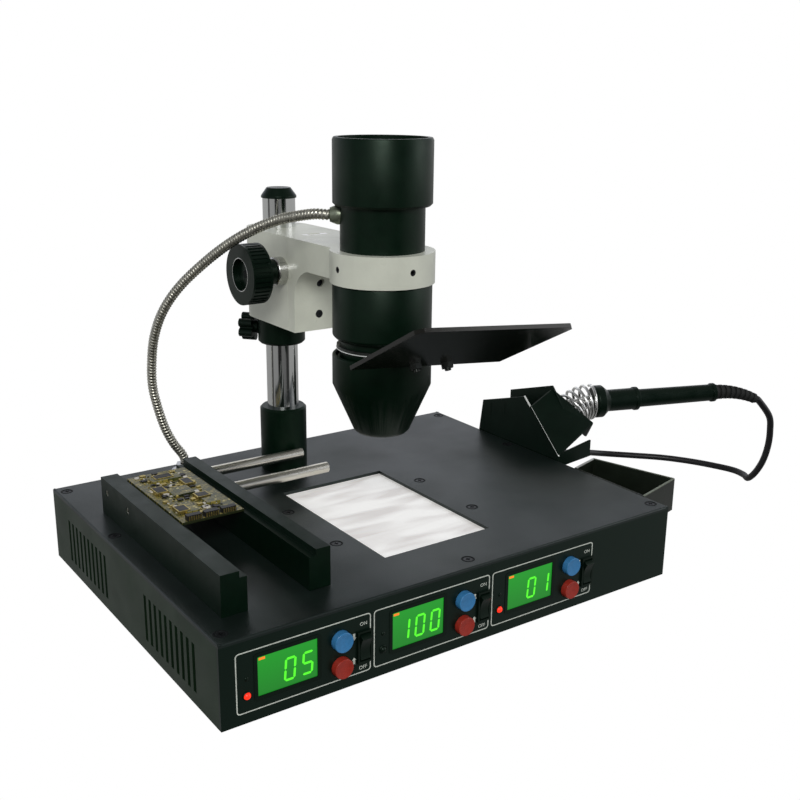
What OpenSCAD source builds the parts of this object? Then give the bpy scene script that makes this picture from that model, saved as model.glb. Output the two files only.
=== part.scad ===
// BGA rework station: a heated base with panel controls, a column with a focusing lamp head,
// a board fixture and a soldering iron stand. Millimetres, +Z up, origin on the bench plane
// under the centre of the base, the front panel towards -Y.

/* [Base case] */
// Width of the case
base_w = 340; // [320:1:380]
// Depth of the case
base_d = 264.8; // [258:0.2:290]
// Height of the case without its feet
base_h = 51.2; // [50:0.2:60]
// Sheet thickness of the chassis
sheet = 1.5; // [1:0.1:2]
// Thickness of the top cover
lid_t = 2.2; // [2:0.1:3]
// Edge rounding of the top cover
lid_r = 1.2; // [0.6:0.1:1.6]
// Height of the rubber feet
foot_h = 4; // [3:0.5:8]
// Diameter of the rubber feet
foot_d = 16; // [12:1:20]
// Distance of each foot from the case sides
foot_inset = 25; // [18:1:40]
// Width of one vent slot
vent_w = 3.6; // [2:0.2:5]
// Height of one vent slot
vent_h = 30; // [20:1:34]
// Spacing of the vent slots
vent_pitch = 7.5; // [6:0.1:9]

/* [Heater] */
// Width of the heater window
window_w = 82; // [70:1:90]
// Length of the heater window
window_d = 128; // [110:1:134]
// Thickness of the heater plate
plate_t = 3; // [2:0.5:4]
// Depth of the heater tray
tray_depth = 28; // [20:1:32]
// Diameter of a heater tube
tube_d = 10; // [8:1:12]

/* [Front panel] */
// Thickness of the front panel
panel_t = 2; // [1.5:0.1:3]
// Width of one control group
unit_w = 87; // [84:1:90]
// Width of a display window
disp_w = 40; // [34:1:42]
// Height of a display window
disp_h = 26.6; // [20:0.2:30]
// Diameter of a push button cap
button_d = 12; // [9:0.5:13]
// Travel of a push button
button_travel = 1.5; // [0.5:0.1:2]
// Distance between the two buttons of a group
button_gap = 16.4; // [15:0.2:18]
// Width of a rocker switch frame
rocker_w = 9.6; // [9:0.2:12]
// Height of a rocker switch frame
rocker_h = 20; // [17:0.5:24]

/* [Column] */
// Diameter of the column
col_d = 23; // [20:0.5:26]
// Length of the column above the cover
col_len = 199.8; // [195:0.2:240]
// Wall of the column tube
col_wall = 3; // [2:0.5:5]
// Diameter of the column socket
socket_d = 34; // [30:0.5:38]
// Height of the column socket
socket_h = 48; // [30:0.1:50]
// Height of the collar underside above the cover at rest
collar_lift = 96.2; // [90:0.2:110]
// Diameter of the height collar
collar_d = 34; // [30:0.5:38]
// Height of the height collar
collar_h = 20.6; // [16:0.2:24]

/* [Focus mount] */
// Width of the focus mount casting
mount_w = 46; // [42:1:50]
// Height of the focus mount casting
mount_h = 63; // [58:1:66]
// Distance from the column axis to the sliding face
mount_reach = 51.5; // [48:0.5:56]
// Thickness of the ring carriage plate
carriage_t = 8.7; // [7:0.1:12]
// Distance from the column axis to the lamp axis
lamp_reach = 130; // [124:1:140]
// Radius of the arch under the arm
arch_r = 20; // [14:1:22]
// Height of the ring
ring_h = 19.5; // [16:0.5:24]
// Wall of the ring
ring_wall = 6.5; // [5:0.5:9]
// Diameter of a focus knob
knob_d = 40; // [32:1:44]
// Thickness of a focus knob
knob_t = 14; // [10:0.5:18]
// Height of the pinion axis above the mount underside
pinion_lift = 39.5; // [34:0.5:44]
// Module of the rack and pinion teeth
gear_m = 0.625; // [0.5:0.025:0.7]
// Teeth of the pinion
pinion_teeth = 16; // [14:1:18]

/* [Lamp head] */
// Diameter of the upper barrel
upper_d = 52; // [46:0.5:54]
// Visible length of the upper barrel above the ring
upper_len = 27; // [20:1:34]
// Diameter of the lamp cap
cap_d = 61; // [56:0.5:66]
// Length of the lamp cap
cap_len = 40; // [30:1:50]
// Diameter of the lower barrel
lower_d = 62; // [58:0.5:66]
// Length of the lower barrel
lower_len = 35.5; // [30:0.5:40]
// Diameter of the barrel neck
neck_d = 52.7; // [48:0.1:54]
// Diameter of the nozzle cup
cup_d = 62.4; // [61:0.2:66]
// Height of the straight part of the nozzle cup
cup_h = 19.4; // [15:0.2:24]
// Height of the nozzle cone
cone_h = 32; // [26:0.5:34]
// Diameter of the nozzle mouth outside
mouth_d = 36; // [30:0.5:42]

/* [Glare shield] */
// Width of the shield
shield_w = 110; // [90:0.5:130]
// Length of the shield
shield_l = 75.6; // [60:0.2:90]
// Thickness of the shield
shield_t = 2.5; // [2:0.1:4]
// Rise of the shield towards the operator, degrees
shield_rise = 27.8; // [20:0.1:34]
// Side droop of the shield, degrees
shield_roll = 5.4; // [2:0.1:8]
// Swivel of the shield about the lamp at rest, degrees
shield_yaw = 0; // [-10:0.1:10]

/* [Board fixture] */
// Length of the left bar
left_len = 179; // [170:1:185]
// Width of the left bar
left_w = 16; // [14:0.5:20]
// Length of the sliding bar
right_len = 181; // [170:1:185]
// Width of the sliding bar
right_w = 14; // [12:0.5:16]
// Height of both bars
bar_h = 25; // [22:0.5:26]
// Depth of the board ledge
ledge_drop = 4; // [3:0.5:6]
// Width of the board ledge
ledge_w = 4.5; // [3:0.5:6]
// Diameter of a guide rod
rod_d = 7.5; // [5:0.5:8]
// Width of the sample board
board_w = 41; // [40.5:0.1:42]
// Length of the sample board
board_len = 90; // [70:1:100]
// Thickness of the sample board
board_t = 1.6; // [1:0.1:2]

/* [Iron stand] */
// Length of the tool tray
tray_l = 66; // [56:1:76]
// Height of the tool tray
tray_h = 25; // [18:1:30]
// Outer diameter of the holder spring
spring_d = 29; // [28.6:0.2:32]
// Wire of the holder spring
wire_d = 2.2; // [1.6:0.1:2.4]
// Diameter of the iron handle
handle_d = 14.6; // [13:0.2:17]
// Length of the iron handle
handle_l = 107; // [95:1:115]

/* [Hidden] */

// Overrun of cuts past a face
over = 0.6;
// Radial clearance of a running fit
run = 0.06;
// Clearance between pieces that move past each other
gap = 0.3;
// Smoothness of round parts, large and small
$fn = 72;
fine = 32;

// Heights of the base
deck = foot_h + base_h;
wall_h = base_h - lid_t;
cover_z = deck - lid_t;
floor_z = foot_h + sheet;
front_y = -base_d / 2;
rear_y = base_d / 2;
right_x = base_w / 2;

// Vents
vent_count = 10;
vent_group_y = 67;
vent_base = 8;

// Fasteners of the cover
screw_d = 3;
screw_head_d = 6;
screw_head_h = 1.2;
screw_skin = 0.1;
cross_w = 0.9;
cross_depth = 0.9;
cross_share = 0.56;
screw_len = 8;
hex_key = 2.5;
rail_inset = 6.5;
rail_inset_y = 10.4;
cover_screw_x = right_x - rail_inset;
cover_screw_y = rear_y - rail_inset_y;
cover_screw_mid_y = 30;
heater_screw_x = 54.5;
heater_screw_y1 = 3;
heater_screw_y2 = -58;

// Heater window and tray
window_x = 2;
window_y = -28.4;
plate_lap = 6;
tray_wall = 1;
tray_flange = 19;
tray_flange_t = 1;
tube_count = 4;
tube_gap = 18;
tube_end = 8;
tube_end_h = 20;

// Panel layout: offsets from the centre of a control group
unit_inset = 51.7;
unit_x0 = unit_inset - right_x;
disp_x = -11;
button_x = 22.6;
rocker_x = 38;
led_x = -36;
control_z = 22.9;
display_z = 25.5;
led_z = 16.5;
led_d = 3.6;
disp_recess = 0.8;
disp_depth = 11;
button_proud = 4;
button_stem_d = 5;
button_stem_l = 6.4;
button_flange_d = 13.6;
button_flange_t = 1;
button_dish_r = 30;
board_back = 14;
pcb_t = 1.6;
pcb_short = 50;
pcb_w = base_w - pcb_short;
pcb_h = 40;
pcb_block_share = 0.3;
pcb_coil_share = 0.1;
pcb_tall_share = 0.4;
rocker_frame_t = 1.4;
rocker_frame_edge = 1.2;
rocker_body = 10;
rocker_pin_d = 2;
rocker_tilt = 9;
rocker_r = 16;

// Transformer
trafo_inset = 55;
trafo_inset_y = 47.4;
trafo_x = right_x - trafo_inset;
trafo_y = rear_y - trafo_inset_y;
trafo_w = 66;
trafo_d = 56;
trafo_core_h = 34;
trafo_core_t = 22;
trafo_coil_w = 40;
trafo_coil_share = 0.7;

// Mains inlet
inlet_x = -110;
inlet_z = 28;
inlet_w = 27.5;
inlet_h = 20;
inlet_depth = 22;
inlet_flange_w = 50;
inlet_flange_h = 26;
inlet_flange_t = 2.5;
inlet_hole_w = 24;
inlet_hole_h = 15.5;
inlet_hole_depth = 17;
pin_t = 2;
pin_w = 6;
pin_l = 12;
pin_gap = 7;

// Column
col_x = -10;
col_inset = 47.4;
col_y = rear_y - col_inset;
socket_chamfer = 1.5;
cap_rim = 0.9;
cap_h = 7;
cap_skirt = 3;
cap_slope = 4;
socket_screw_share = 0.7;

// Lock knobs
lock_core_d = 13;
lock_lobe_d = 6.2;
lock_lobe_r = 7.1;
lock_lobes = 6;
lock_t = 10;
lock_stem_d = 6;
lock_neck_d = 9;
lock_reach = 25;
lock_drop = 0.6;
lock_bore_share = 0.6;
lock_dish_share = 0.2;
lock_angle = 130;

// Focus mount
mount_z = deck + collar_lift + collar_h;
mount_y = col_y - mount_reach;
mount_rear_r = mount_w / 2;
pinion_back = 7.5;
pinion_y = mount_y + pinion_back;
pinion_z = mount_z + pinion_lift;
pinion_pitch_r = gear_m * pinion_teeth / 2;
pinion_w = 8;
shaft_d = 5.4;
bush_d = 19;
bush_t = 7;
knob_hub_d = 17;
knob_start = 17;
knob_recess_d = 21;
knob_recess_t = 4;
knurl_count = 40;
knurl_depth = 0.8;
knurl_w = 1.5;
dove_w = 17;
dove_wide = 20;
dove_depth = 4.8;
rack_w = 9;
mount_lock_share = 1 / 3;

// Ring carriage
lamp_y = col_y - lamp_reach;
ring_z = mount_z + mount_h - ring_h;
ring_top = mount_z + mount_h;
ring_d = upper_d + 2 * ring_wall;
carriage_y = mount_y - gap;
head_screw_d = 5;
head_pin_d = 3;
head_screw_x = -4;
head_screw_low = 11;
head_screw_gap = 21.4;
set_screw_d = 4;

// Lamp head
barrel_wall = 3;
cap_base = ring_top + upper_len;
cap_wall = 3.5;
cap_seat = 12;
cap_web = 2;
cap_hole_d = 30;
cap_slit = 1.2;
cap_slit_angle = -36;
cap_vents = 8;
lower_z = ring_z - lower_len;
lower_chamfer = 2.5;
neck_len = 23;
screw_in = 15;
lamp_bore_d = 46;
reflector_r = 22;
reflector_h = 24;
reflector_t = 1.2;
holder_d = 18;
holder_h = 16;
bulb_d = 11;
bulb_h = 24;
fitting_z = cap_base - 6;
fitting_angle = 146;
fitting_d = 12;
fitting_len = 6;
fitting_tip_d = 8.6;

// Nozzle cup
cup_drop = 9.6;
cup_top = lower_z - cup_drop;
cup_wall = 2;
sleeve_wall = 1.5;
sleeve_top_drop = 2;
cup_web_drop = 16;
mouth_wall = 3;
mouth_round = 2;
lens_t = 3;
lens_bulge = 3;
lens_seat = 12;
lens_steps = 6;

// Clip ring and shield
clip_h = 1.8;
clip_wall = 2;
clip_drop = 5.6;
tab_w = 34;
tab_t = 1.5;
tab_x = 9;
tab_lap = 10;
tab_reach = 32.6;
shield_x = 10.2;
shield_back = 35.5;
shield_drop = 12.1;
shield_cut = 6;
shield_screw_gap = 23;
nut_d = 8;
nut_h = 3.2;
nut_screw_d = 4;

// Board fixture
bar_inset = 14.5;
bar_front = 25.4;
slide_gap = 39.5;
bar_shift = 1;
left_x = bar_inset - right_x;
left_y = front_y + bar_front;
right_bar_x = left_x + left_w + slide_gap;
right_bar_y = left_y + bar_shift;
rod_z = 16.4;
rod_back = 133;
rod_gap = 36;
rod_2_y = left_y + rod_back;
rod_1_y = rod_2_y + rod_gap;
rod_reach = 147.3;
rod_head_d = 4.4;
rod_head_h = 3;
rod_seat = 0.4;
board_start = 82;
board_y = left_y + board_start;
chip_h = 1.6;
chip_shares = [[0.3, 0.45, 0.35, 0.35], [0.25, 0.78, 0.5, 0.2], [0.2, 0.12, 0.2, 0.4],
  [0.6, 0.2, 0.22, 0.22]];

// Tool tray, outline as places on the right side of the case
tray_inset = 22.4;
tray_front_y = front_y + tray_inset;
tray_nose = 12;
tray_reach = 46;
tray_rear_reach = 28;
tray_rear_drop = 8;
tray_sheet = 1.2;
tray_front_share = 1.3;
tray_rear_share = 1.5;

// Iron stand plates, places from the right side of the case and the bench plane
holder_sheet = 1.2;
holder_x = 1;
fin_rear_y = 74;
fin_base_z = 44;
fin_rear_z = 81.4;
fin_top_y = 19.6;
fin_top_z = 96.6;
fin_foot_y = -21;
fin_foot_z = 59.2;
slope_top = [22, 11.5, 100.5];
slope_foot = [36.8, -19.6, 78.5];
slope_left_y = 11.6;
slope_left_z = 89.7;
seat_rear_top = [34.4, 29.7, 83.1];
seat_rear_foot = [49.2, -1.4, 61.1];
back_left_y = 43;
back_h = 13;
wall_x = 22;
wall_front_y = 11.5;
wall_front_z = 103.4;
wall_low_y = -2;
wall_low_z = 88;
wall_rear_y = 60;
wall_rear_z = 88.5;
wall_rear_h = 16.5;
barrel_clear = 1.6;
lip_reach = 34;
lip_top_z = 65;
lip_low_z = 53;
lip_foot_z = 50;

// Holder spring and iron: the spring starts square to its seat and bends over to the iron
spring_x = 34.7;
spring_y = 3.7;
spring_z = 82.1;
seat_yaw = -1.1;
seat_pitch = 35;
seat_bore_share = 0.8;
iron_yaw = -21.6;
iron_pitch = 1;
bend_r = 25;
spring_turns = 4.5;
spring_steps = 14;
wire_sides = 6;
flange_d = 26;
flange_t = 7;
flange_taper = 5;
grip_d = 17.5;
grip_l = 28;
grip_ring_d = 19;
grip_ring_t = 3;
handle_tail_d = 13.6;
tail_ring_d = 15.4;
tail_ring_t = 3;
iron_barrel_d = 7;
iron_barrel_l = 34;
iron_nut_d = 11;
iron_nut_l = 8;
iron_tip_l = 14;
iron_tip_d = 5;
boot_ribs = 9;
boot_step = 4.6;
boot_bend = 3.2;
boot_d0 = 12.4;
boot_d1 = 8.4;
boot_rib_share = 0.55;
boot_core_share = 0.78;

// Iron connector on the right side
plug_y = 30;
plug_z = 33;
conn_flange_d = 18;
conn_flange_t = 2;
conn_d = 14;
conn_len = 8;
plug_d = 16;
plug_len = 15;
plug_boot_len = 12;
plug_boot_d = 8;
plug_neck_share = 0.8;

// Hose gland on the cover
gland_x = -78;
gland_inset = 19.4;
gland_y = rear_y - gland_inset;
gland_d = 14;
gland_h = 7;
gland_flange_d = 20;
gland_flange_t = 2;

// Flexible parts
hose_d = 6.8;
cord_d = 5.5;
tube_sides = 8;
hose_side = [1, 1, 0];
cord_side = [0.3, 0.5, 1];

// Hose points from the foot of the column, cord points from the right side of the case
flex_lead = 3;
hose_points = [
  [-70, 28, 14.8], [-76, 28, 23.8], [-82, 28, 36.8], [-87, 28, 54.8],
  [-90, 27, 70.8], [-91, 23, 88.8], [-91, 16, 107.8], [-88, 6, 126.8], [-81, -7, 144.8],
  [-71, -24, 161.8], [-62, -42, 175.8], [-53, -60, 186.8], [-44, -78, 194.8], [-38, -94, 198.8],
  [-33, -105, 200.8]
];
cord_points = [
  [44, 32, 33], [58, 39, 30], [80, 53, 24], [104, 67, 16], [129, 74, 9], [152, 70, 4.4],
  [173, 55, 3], [191, 36, 3], [205, 14, 3], [214, -7, 3], [218, -22, 3], [216, -34, 3],
  [210, -43, 4], [208, -51, 12], [210, -56, 24], [212, -58, 38], [211, -59, 52],
  [206, -60, 66]
];

// Unit vectors along the iron and along the seat, and the places of the bent spring
function unit(v) = v / norm(v);
function heading(yaw, pitch) = [cos(pitch) * cos(yaw), cos(pitch) * sin(yaw), sin(pitch)];
iron_dir = heading(iron_yaw, iron_pitch);
seat_dir = heading(seat_yaw, seat_pitch);
bend_dir = unit(seat_dir - (iron_dir * seat_dir) * iron_dir);
side_dir = cross(iron_dir, bend_dir);
spring_bend = acos(iron_dir * seat_dir);
function coil_dir(turn) = cos(turn) * iron_dir + sin(turn) * bend_dir;
function coil_in(turn) = sin(turn) * iron_dir - cos(turn) * bend_dir;
spring_start = [right_x + spring_x, spring_y, spring_z]
  + (wire_d / 2 + holder_sheet / 2 + gap) * seat_dir;
function coil_axis(turn) = spring_start + bend_r * (coil_in(spring_bend) - coil_in(turn));
function coil_point(share) =
  let (turn = spring_bend * (1 - share), a = 360 * spring_turns * share)
  coil_axis(turn) + wire_d * share * coil_dir(turn)
  + (spring_d - wire_d) / 2 * (cos(a) * coil_in(turn) + sin(a) * side_dir);
iron_start = coil_axis(0) + (wire_d * 3 / 2 + gap) * iron_dir;

// Place of the end of the boot, where the cord leaves it
function boot_reach(i) = i < 0 ? [0, 0, 0]
  : boot_reach(i - 1) + boot_step * heading(iron_yaw, iron_pitch - i * boot_bend);
boot_dir = heading(iron_yaw, iron_pitch - (boot_ribs - 1) * boot_bend);
boot_end = iron_start + handle_l * iron_dir + boot_reach(boot_ribs - 1);
plug_end = [right_x + conn_len + plug_len + plug_boot_len, plug_y, plug_z];

// Routes of the hose and the cord from their two fixed ends and the points between
gland_top = [gland_x, gland_y, deck + gland_h];
fitting_dir = [cos(fitting_angle), sin(fitting_angle), 0];
fitting_tip = [col_x, lamp_y, fitting_z] + (upper_d / 2 + fitting_len) * fitting_dir;
hose_route = concat([gland_top + [0, 0, flex_lead]], [for (p = hose_points) p + [col_x, col_y, deck]],
  [fitting_tip + flex_lead * fitting_dir]);
cord_route = concat([plug_end + [flex_lead, 0, 0]], [for (p = cord_points) p + [right_x, 0, 0]],
  [boot_end + flex_lead * boot_dir]);

// Sweep of a round section along points: frame of each ring from its neighbours
function along(pts, i) = unit(pts[min(i + 1, len(pts) - 1)] - pts[max(i - 1, 0)]);
function across(t, up) = unit(cross(up, t));
function ring_points(p, t, up, r, sides) =
  let (a = across(t, up), b = cross(t, a))
  [for (k = [0:sides - 1]) p + r * (cos(360 * k / sides) * a + sin(360 * k / sides) * b)];

// Catmull curve through hand chosen points, steps per stretch
function curve_at(a, b, c, d, s) =
  ((2 * b) + (c - a) * s + (2 * a - 5 * b + 4 * c - d) * s * s + (3 * b - a - 3 * c + d) * s * s * s) / 2;
function curve(pts, steps) = concat(
  [for (i = [0:len(pts) - 2], j = [0:steps - 1])
    curve_at(pts[max(i - 1, 0)], pts[i], pts[i + 1], pts[min(i + 2, len(pts) - 1)], j / steps)],
  [pts[len(pts) - 1]]);

module sweep(pts, r, sides, up) {
  n = len(pts);
  rings = [for (i = [0:n - 1]) each ring_points(pts[i], along(pts, i), up, r, sides)];
  skin = [for (i = [0:n - 2], k = [0:sides - 1])
    [i * sides + k, i * sides + (k + 1) % sides, (i + 1) * sides + (k + 1) % sides, (i + 1) * sides + k]];
  first_cap = [[for (k = [0:sides - 1]) sides - 1 - k]];
  last_cap = [[for (k = [0:sides - 1]) (n - 1) * sides + k]];
  polyhedron(points = rings, faces = concat(skin, first_cap, last_cap), convexity = 8);
}

// Plan outline with round corners
module rounded(w, d, r) {
  square([w - 2 * r, d], center = true);
  square([w, d - 2 * r], center = true);
  for (sx = [-1, 1], sy = [-1, 1])
    translate([sx * (w / 2 - r), sy * (d / 2 - r)]) circle(r = r, $fn = fine);
}

// Tube standing on the origin
module tube(od, id, h) {
  difference() {
    cylinder(d = od, h = h);
    translate([0, 0, -over]) cylinder(d = id, h = h + 2 * over);
  }
}

// Cylinder along +X from the origin
module rod_x(d, l) {
  rotate([0, 90, 0]) cylinder(d = d, h = l, $fn = fine);
}

// Socket head screw, head up, underside of the head at the origin
module screw(head_d, head_h, shank_d, shank_l) {
  difference() {
    union() {
      cylinder(d = head_d, h = head_h, $fn = fine);
      translate([0, 0, -shank_l]) cylinder(d = shank_d, h = shank_l, $fn = fine);
    }
    translate([0, 0, head_h / 2]) cylinder(d = head_d / 2, h = head_h, $fn = 6);
  }
}

// Countersunk screw with a cross recess, its flat face at the origin
module flush_screw(head_d, shank_d, shank_l) {
  sink = (head_d - shank_d) / 2;
  difference() {
    union() {
      translate([0, 0, -sink]) cylinder(d1 = shank_d, d2 = head_d, h = sink, $fn = fine);
      translate([0, 0, -shank_l]) cylinder(d = shank_d, h = shank_l - sink, $fn = fine);
    }
    for (a = [0, 90]) rotate([0, 0, a])
      cube([head_d * cross_share, cross_w, 2 * cross_depth], center = true);
  }
}

// Room for the head of a countersunk screw, its flat face at the origin
module flush_seat(head_d, shank_d) {
  sink = (head_d - shank_d) / 2 + run;
  translate([0, 0, -sink])
    cylinder(d1 = shank_d + 2 * run, d2 = head_d + 4 * run + 2 * over, h = sink + over, $fn = fine);
}

// Lobed lock knob on +X, stem tip at the origin, stem length to the knob
module lobed_knob(stem_l) {
  rotate([0, 90, 0]) {
    cylinder(d = lock_stem_d, h = stem_l + lock_t / 2, $fn = fine);
    translate([0, 0, stem_l - lock_t / 4]) cylinder(d = lock_neck_d, h = lock_t / 2, $fn = fine);
    translate([0, 0, stem_l]) difference() {
      union() {
        cylinder(d = lock_core_d, h = lock_t, $fn = fine);
        for (a = [0:360 / lock_lobes:359])
          rotate([0, 0, a]) translate([lock_lobe_r, 0, 0]) cylinder(d = lock_lobe_d, h = lock_t, $fn = fine);
      }
      translate([0, 0, lock_t * (1 - lock_dish_share)])
        cylinder(d = lock_core_d * lock_bore_share, h = lock_t, $fn = fine);
    }
  }
}

// Slots of the two groups on the left side, or of the rear group behind the socket on the right
module vent_cut(side, groups, first) {
  for (g = groups, i = [first:vent_count - 1])
    translate([side * right_x, g * vent_group_y + (i - (vent_count - 1) / 2) * vent_pitch,
      foot_h + vent_base + vent_h / 2])
      cube([4 * sheet, vent_w, vent_h], center = true);
}

// Places of the cover screws along the rails and at the sides
cover_screw_places = concat(
  [for (sx = [-1, 1], y = [-cover_screw_y, cover_screw_mid_y, cover_screw_y]) [sx * cover_screw_x, y]],
  [[window_x, -cover_screw_y], [window_x, cover_screw_y]]
);

module chassis() {
  color("#17191b") difference() {
    translate([0, panel_t / 2, foot_h]) union() {
      translate([0, 0, sheet / 2]) cube([base_w, base_d - panel_t, sheet], center = true);
      for (s = [-1, 1])
        translate([s * (right_x - sheet / 2), 0, wall_h / 2])
          cube([sheet, base_d - panel_t, wall_h], center = true);
      translate([0, (base_d - panel_t - sheet) / 2, wall_h / 2])
        cube([base_w, sheet, wall_h], center = true);
      for (sx = [-1, 1])
        translate([sx * cover_screw_x, cover_screw_mid_y - panel_t / 2, wall_h - screw_len / 2])
          cube([screw_head_d * 2, screw_head_d, screw_len], center = true);
      for (s = [-1, 1])
        translate([0, s * cover_screw_y - panel_t / 2, wall_h - screw_len / 2])
          cube([base_w - sheet, screw_head_d, screw_len], center = true);
    }
    vent_cut(-1, [-1, 1], 0);
    vent_cut(1, [1], 2);
    translate([inlet_x, rear_y, foot_h + inlet_z])
      cube([inlet_w + gap, 4 * sheet, inlet_h + gap], center = true);
    translate([right_x - 2 * sheet, plug_y, plug_z]) rod_x(conn_d + gap, 4 * sheet);
    for (p = cover_screw_places) translate([p[0], p[1], cover_z - screw_len])
      cylinder(d = screw_d, h = screw_len + over, $fn = fine);
  }
}

module lid_plate() {
  flat = lid_t - lid_r;
  translate([0, 0, flat / 2]) cube([base_w, base_d, flat], center = true);
  translate([0, 0, lid_t / 2]) cube([base_w - 2 * lid_r, base_d - 2 * lid_r, lid_t], center = true);
  intersection() {
    translate([0, 0, lid_t / 2]) cube([base_w, base_d, lid_t], center = true);
    union() {
      for (s = [-1, 1]) {
        translate([-right_x, s * (rear_y - lid_r), flat]) rotate([0, 90, 0])
          cylinder(r = lid_r, h = base_w, $fn = fine);
        translate([s * (right_x - lid_r), rear_y, flat]) rotate([90, 0, 0])
          cylinder(r = lid_r, h = base_d, $fn = fine);
      }
    }
  }
}

module at_cover_screws() {
  for (p = cover_screw_places) translate([p[0], p[1], deck]) children();
  for (sx = [-1, 1], y = [heater_screw_y1, heater_screw_y2])
    translate([window_x + sx * heater_screw_x, y, deck]) children();
}

module top_cover() {
  color("#24272b") difference() {
    translate([0, 0, cover_z]) lid_plate();
    translate([window_x, window_y, cover_z]) cube([window_w, window_d, 4 * lid_t], center = true);
    at_cover_screws() {
      translate([0, 0, -2 * lid_t]) cylinder(d = screw_d + 2 * run, h = 3 * lid_t, $fn = fine);
      translate([0, 0, -screw_skin]) flush_seat(screw_head_d, screw_d);
    }
    translate([gland_x, gland_y, cover_z - over])
      cylinder(d = hose_d + gap, h = lid_t + 2 * over, $fn = fine);
  }
}

module cover_screws() {
  color("#101112") at_cover_screws() translate([0, 0, -screw_skin])
    flush_screw(screw_head_d, screw_d, screw_len - screw_skin);
}

module rubber_feet() {
  color("#0d0d0d") for (sx = [-1, 1], sy = [-1, 1])
    translate([sx * (right_x - foot_inset), sy * (rear_y - foot_inset), 0])
      cylinder(d1 = foot_d - foot_h / 2, d2 = foot_d, h = foot_h, $fn = fine);
}

module heater_plate() {
  color("#f1efe9") translate([window_x, window_y, cover_z - plate_t]) linear_extrude(plate_t)
    square([window_w + 2 * plate_lap, window_d + 2 * plate_lap], center = true);
}

module heater_tray() {
  flange_z = cover_z - plate_t - tray_flange_t;
  color("#9a9c9e") difference() {
    translate([window_x, window_y, 0]) union() {
      translate([0, 0, flange_z - tray_depth]) linear_extrude(tray_depth)
        square([window_w + 2 * tray_wall, window_d + 2 * tray_wall], center = true);
      translate([0, 0, flange_z]) linear_extrude(tray_flange_t)
        square([window_w + 2 * tray_flange, window_d + 2 * plate_lap], center = true);
      for (sx = [-1, 1], y = [heater_screw_y1, heater_screw_y2])
        translate([sx * heater_screw_x, y - window_y, flange_z])
          cylinder(d = screw_head_d, h = tray_flange_t + plate_t, $fn = fine);
    }
    translate([window_x, window_y, flange_z - tray_depth + tray_wall]) linear_extrude(tray_depth + plate_t)
      square([window_w, window_d], center = true);
    for (sx = [-1, 1], y = [heater_screw_y1, heater_screw_y2])
      translate([window_x + sx * heater_screw_x, y, flange_z - over])
        cylinder(d = screw_d, h = tray_flange_t + plate_t + 2 * over, $fn = fine);
  }
}

module heater_tubes() {
  tray_floor = cover_z - plate_t - tray_flange_t - tray_depth + tray_wall;
  color("#e8e2d8") translate([window_x, window_y, tray_floor]) {
    for (s = [-1, 1])
      translate([0, s * (window_d - tube_end) / 2 - s * gap, tube_end_h / 2])
        cube([window_w - 2 * tube_end, tube_end, tube_end_h], center = true);
    for (i = [0:tube_count - 1])
      translate([(i - (tube_count - 1) / 2) * tube_gap, (window_d - tube_end) / 2, tube_end_h - tube_d / 2])
        rotate([90, 0, 0]) cylinder(d = tube_d, h = window_d - tube_end, $fn = fine);
  }
}

module transformer() {
  color("#5a5650") translate([trafo_x, trafo_y, floor_z]) {
    translate([0, 0, trafo_core_h / 2]) cube([trafo_w, trafo_core_t, trafo_core_h], center = true);
    translate([0, 0, trafo_core_h / 2])
      cube([trafo_coil_w, trafo_d, trafo_core_h * trafo_coil_share], center = true);
    translate([0, 0, sheet / 2]) cube([trafo_w, trafo_d, sheet], center = true);
  }
}

module control_board() {
  color("#1f5f3a") translate([-right_x + pcb_w / 2 + foot_inset / 2, front_y + board_back, floor_z]) {
    translate([0, pcb_t / 2, pcb_h / 2]) cube([pcb_w, pcb_t, pcb_h], center = true);
    translate([0, pcb_t * 2, pcb_h / 4])
      cube([pcb_w * pcb_block_share, pcb_t * 2, pcb_h * pcb_block_share], center = true);
    translate([-pcb_w * pcb_block_share, pcb_t * 3, pcb_h / 2])
      cube([pcb_w * pcb_coil_share, pcb_t * 4, pcb_h * pcb_tall_share], center = true);
  }
}

// Place of control group i, at the panel front on the case underside
module at_unit(i) {
  translate([unit_x0 + i * unit_w, front_y, foot_h]) children();
}

module front_panel() {
  color("#141619") difference() {
    translate([0, front_y + panel_t / 2, foot_h + wall_h / 2])
      cube([base_w, panel_t, wall_h], center = true);
    for (i = [0:2]) at_unit(i) {
      translate([disp_x, 0, display_z]) cube([disp_w, 4 * panel_t, disp_h], center = true);
      for (s = [-1, 1]) translate([button_x, -over, control_z + s * button_gap / 2]) rotate([-90, 0, 0])
        cylinder(d = button_d + 2 * gap, h = panel_t + 2 * over, $fn = fine);
      translate([rocker_x, 0, control_z])
        cube([rocker_w - rocker_frame_edge, 4 * panel_t, rocker_h - rocker_frame_edge], center = true);
      translate([led_x, -over, led_z]) rotate([-90, 0, 0])
        cylinder(d = led_d + 2 * run, h = panel_t + 2 * over, $fn = fine);
    }
  }
}

module display_windows() {
  color("#2fae2f") for (i = [0:2]) at_unit(i) {
    translate([disp_x, disp_recess + disp_depth / 2, display_z])
      cube([disp_w, disp_depth, disp_h], center = true);
    translate([disp_x, (disp_depth + board_back) / 2, display_z])
      cube([disp_w / 2, board_back - disp_depth, disp_h / 2], center = true);
    translate([led_x, 0, led_z]) rotate([-90, 0, 0]) cylinder(d = led_d, h = board_back, $fn = fine);
    translate([led_x, 0, led_z]) sphere(d = led_d, $fn = fine);
  }
}

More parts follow.
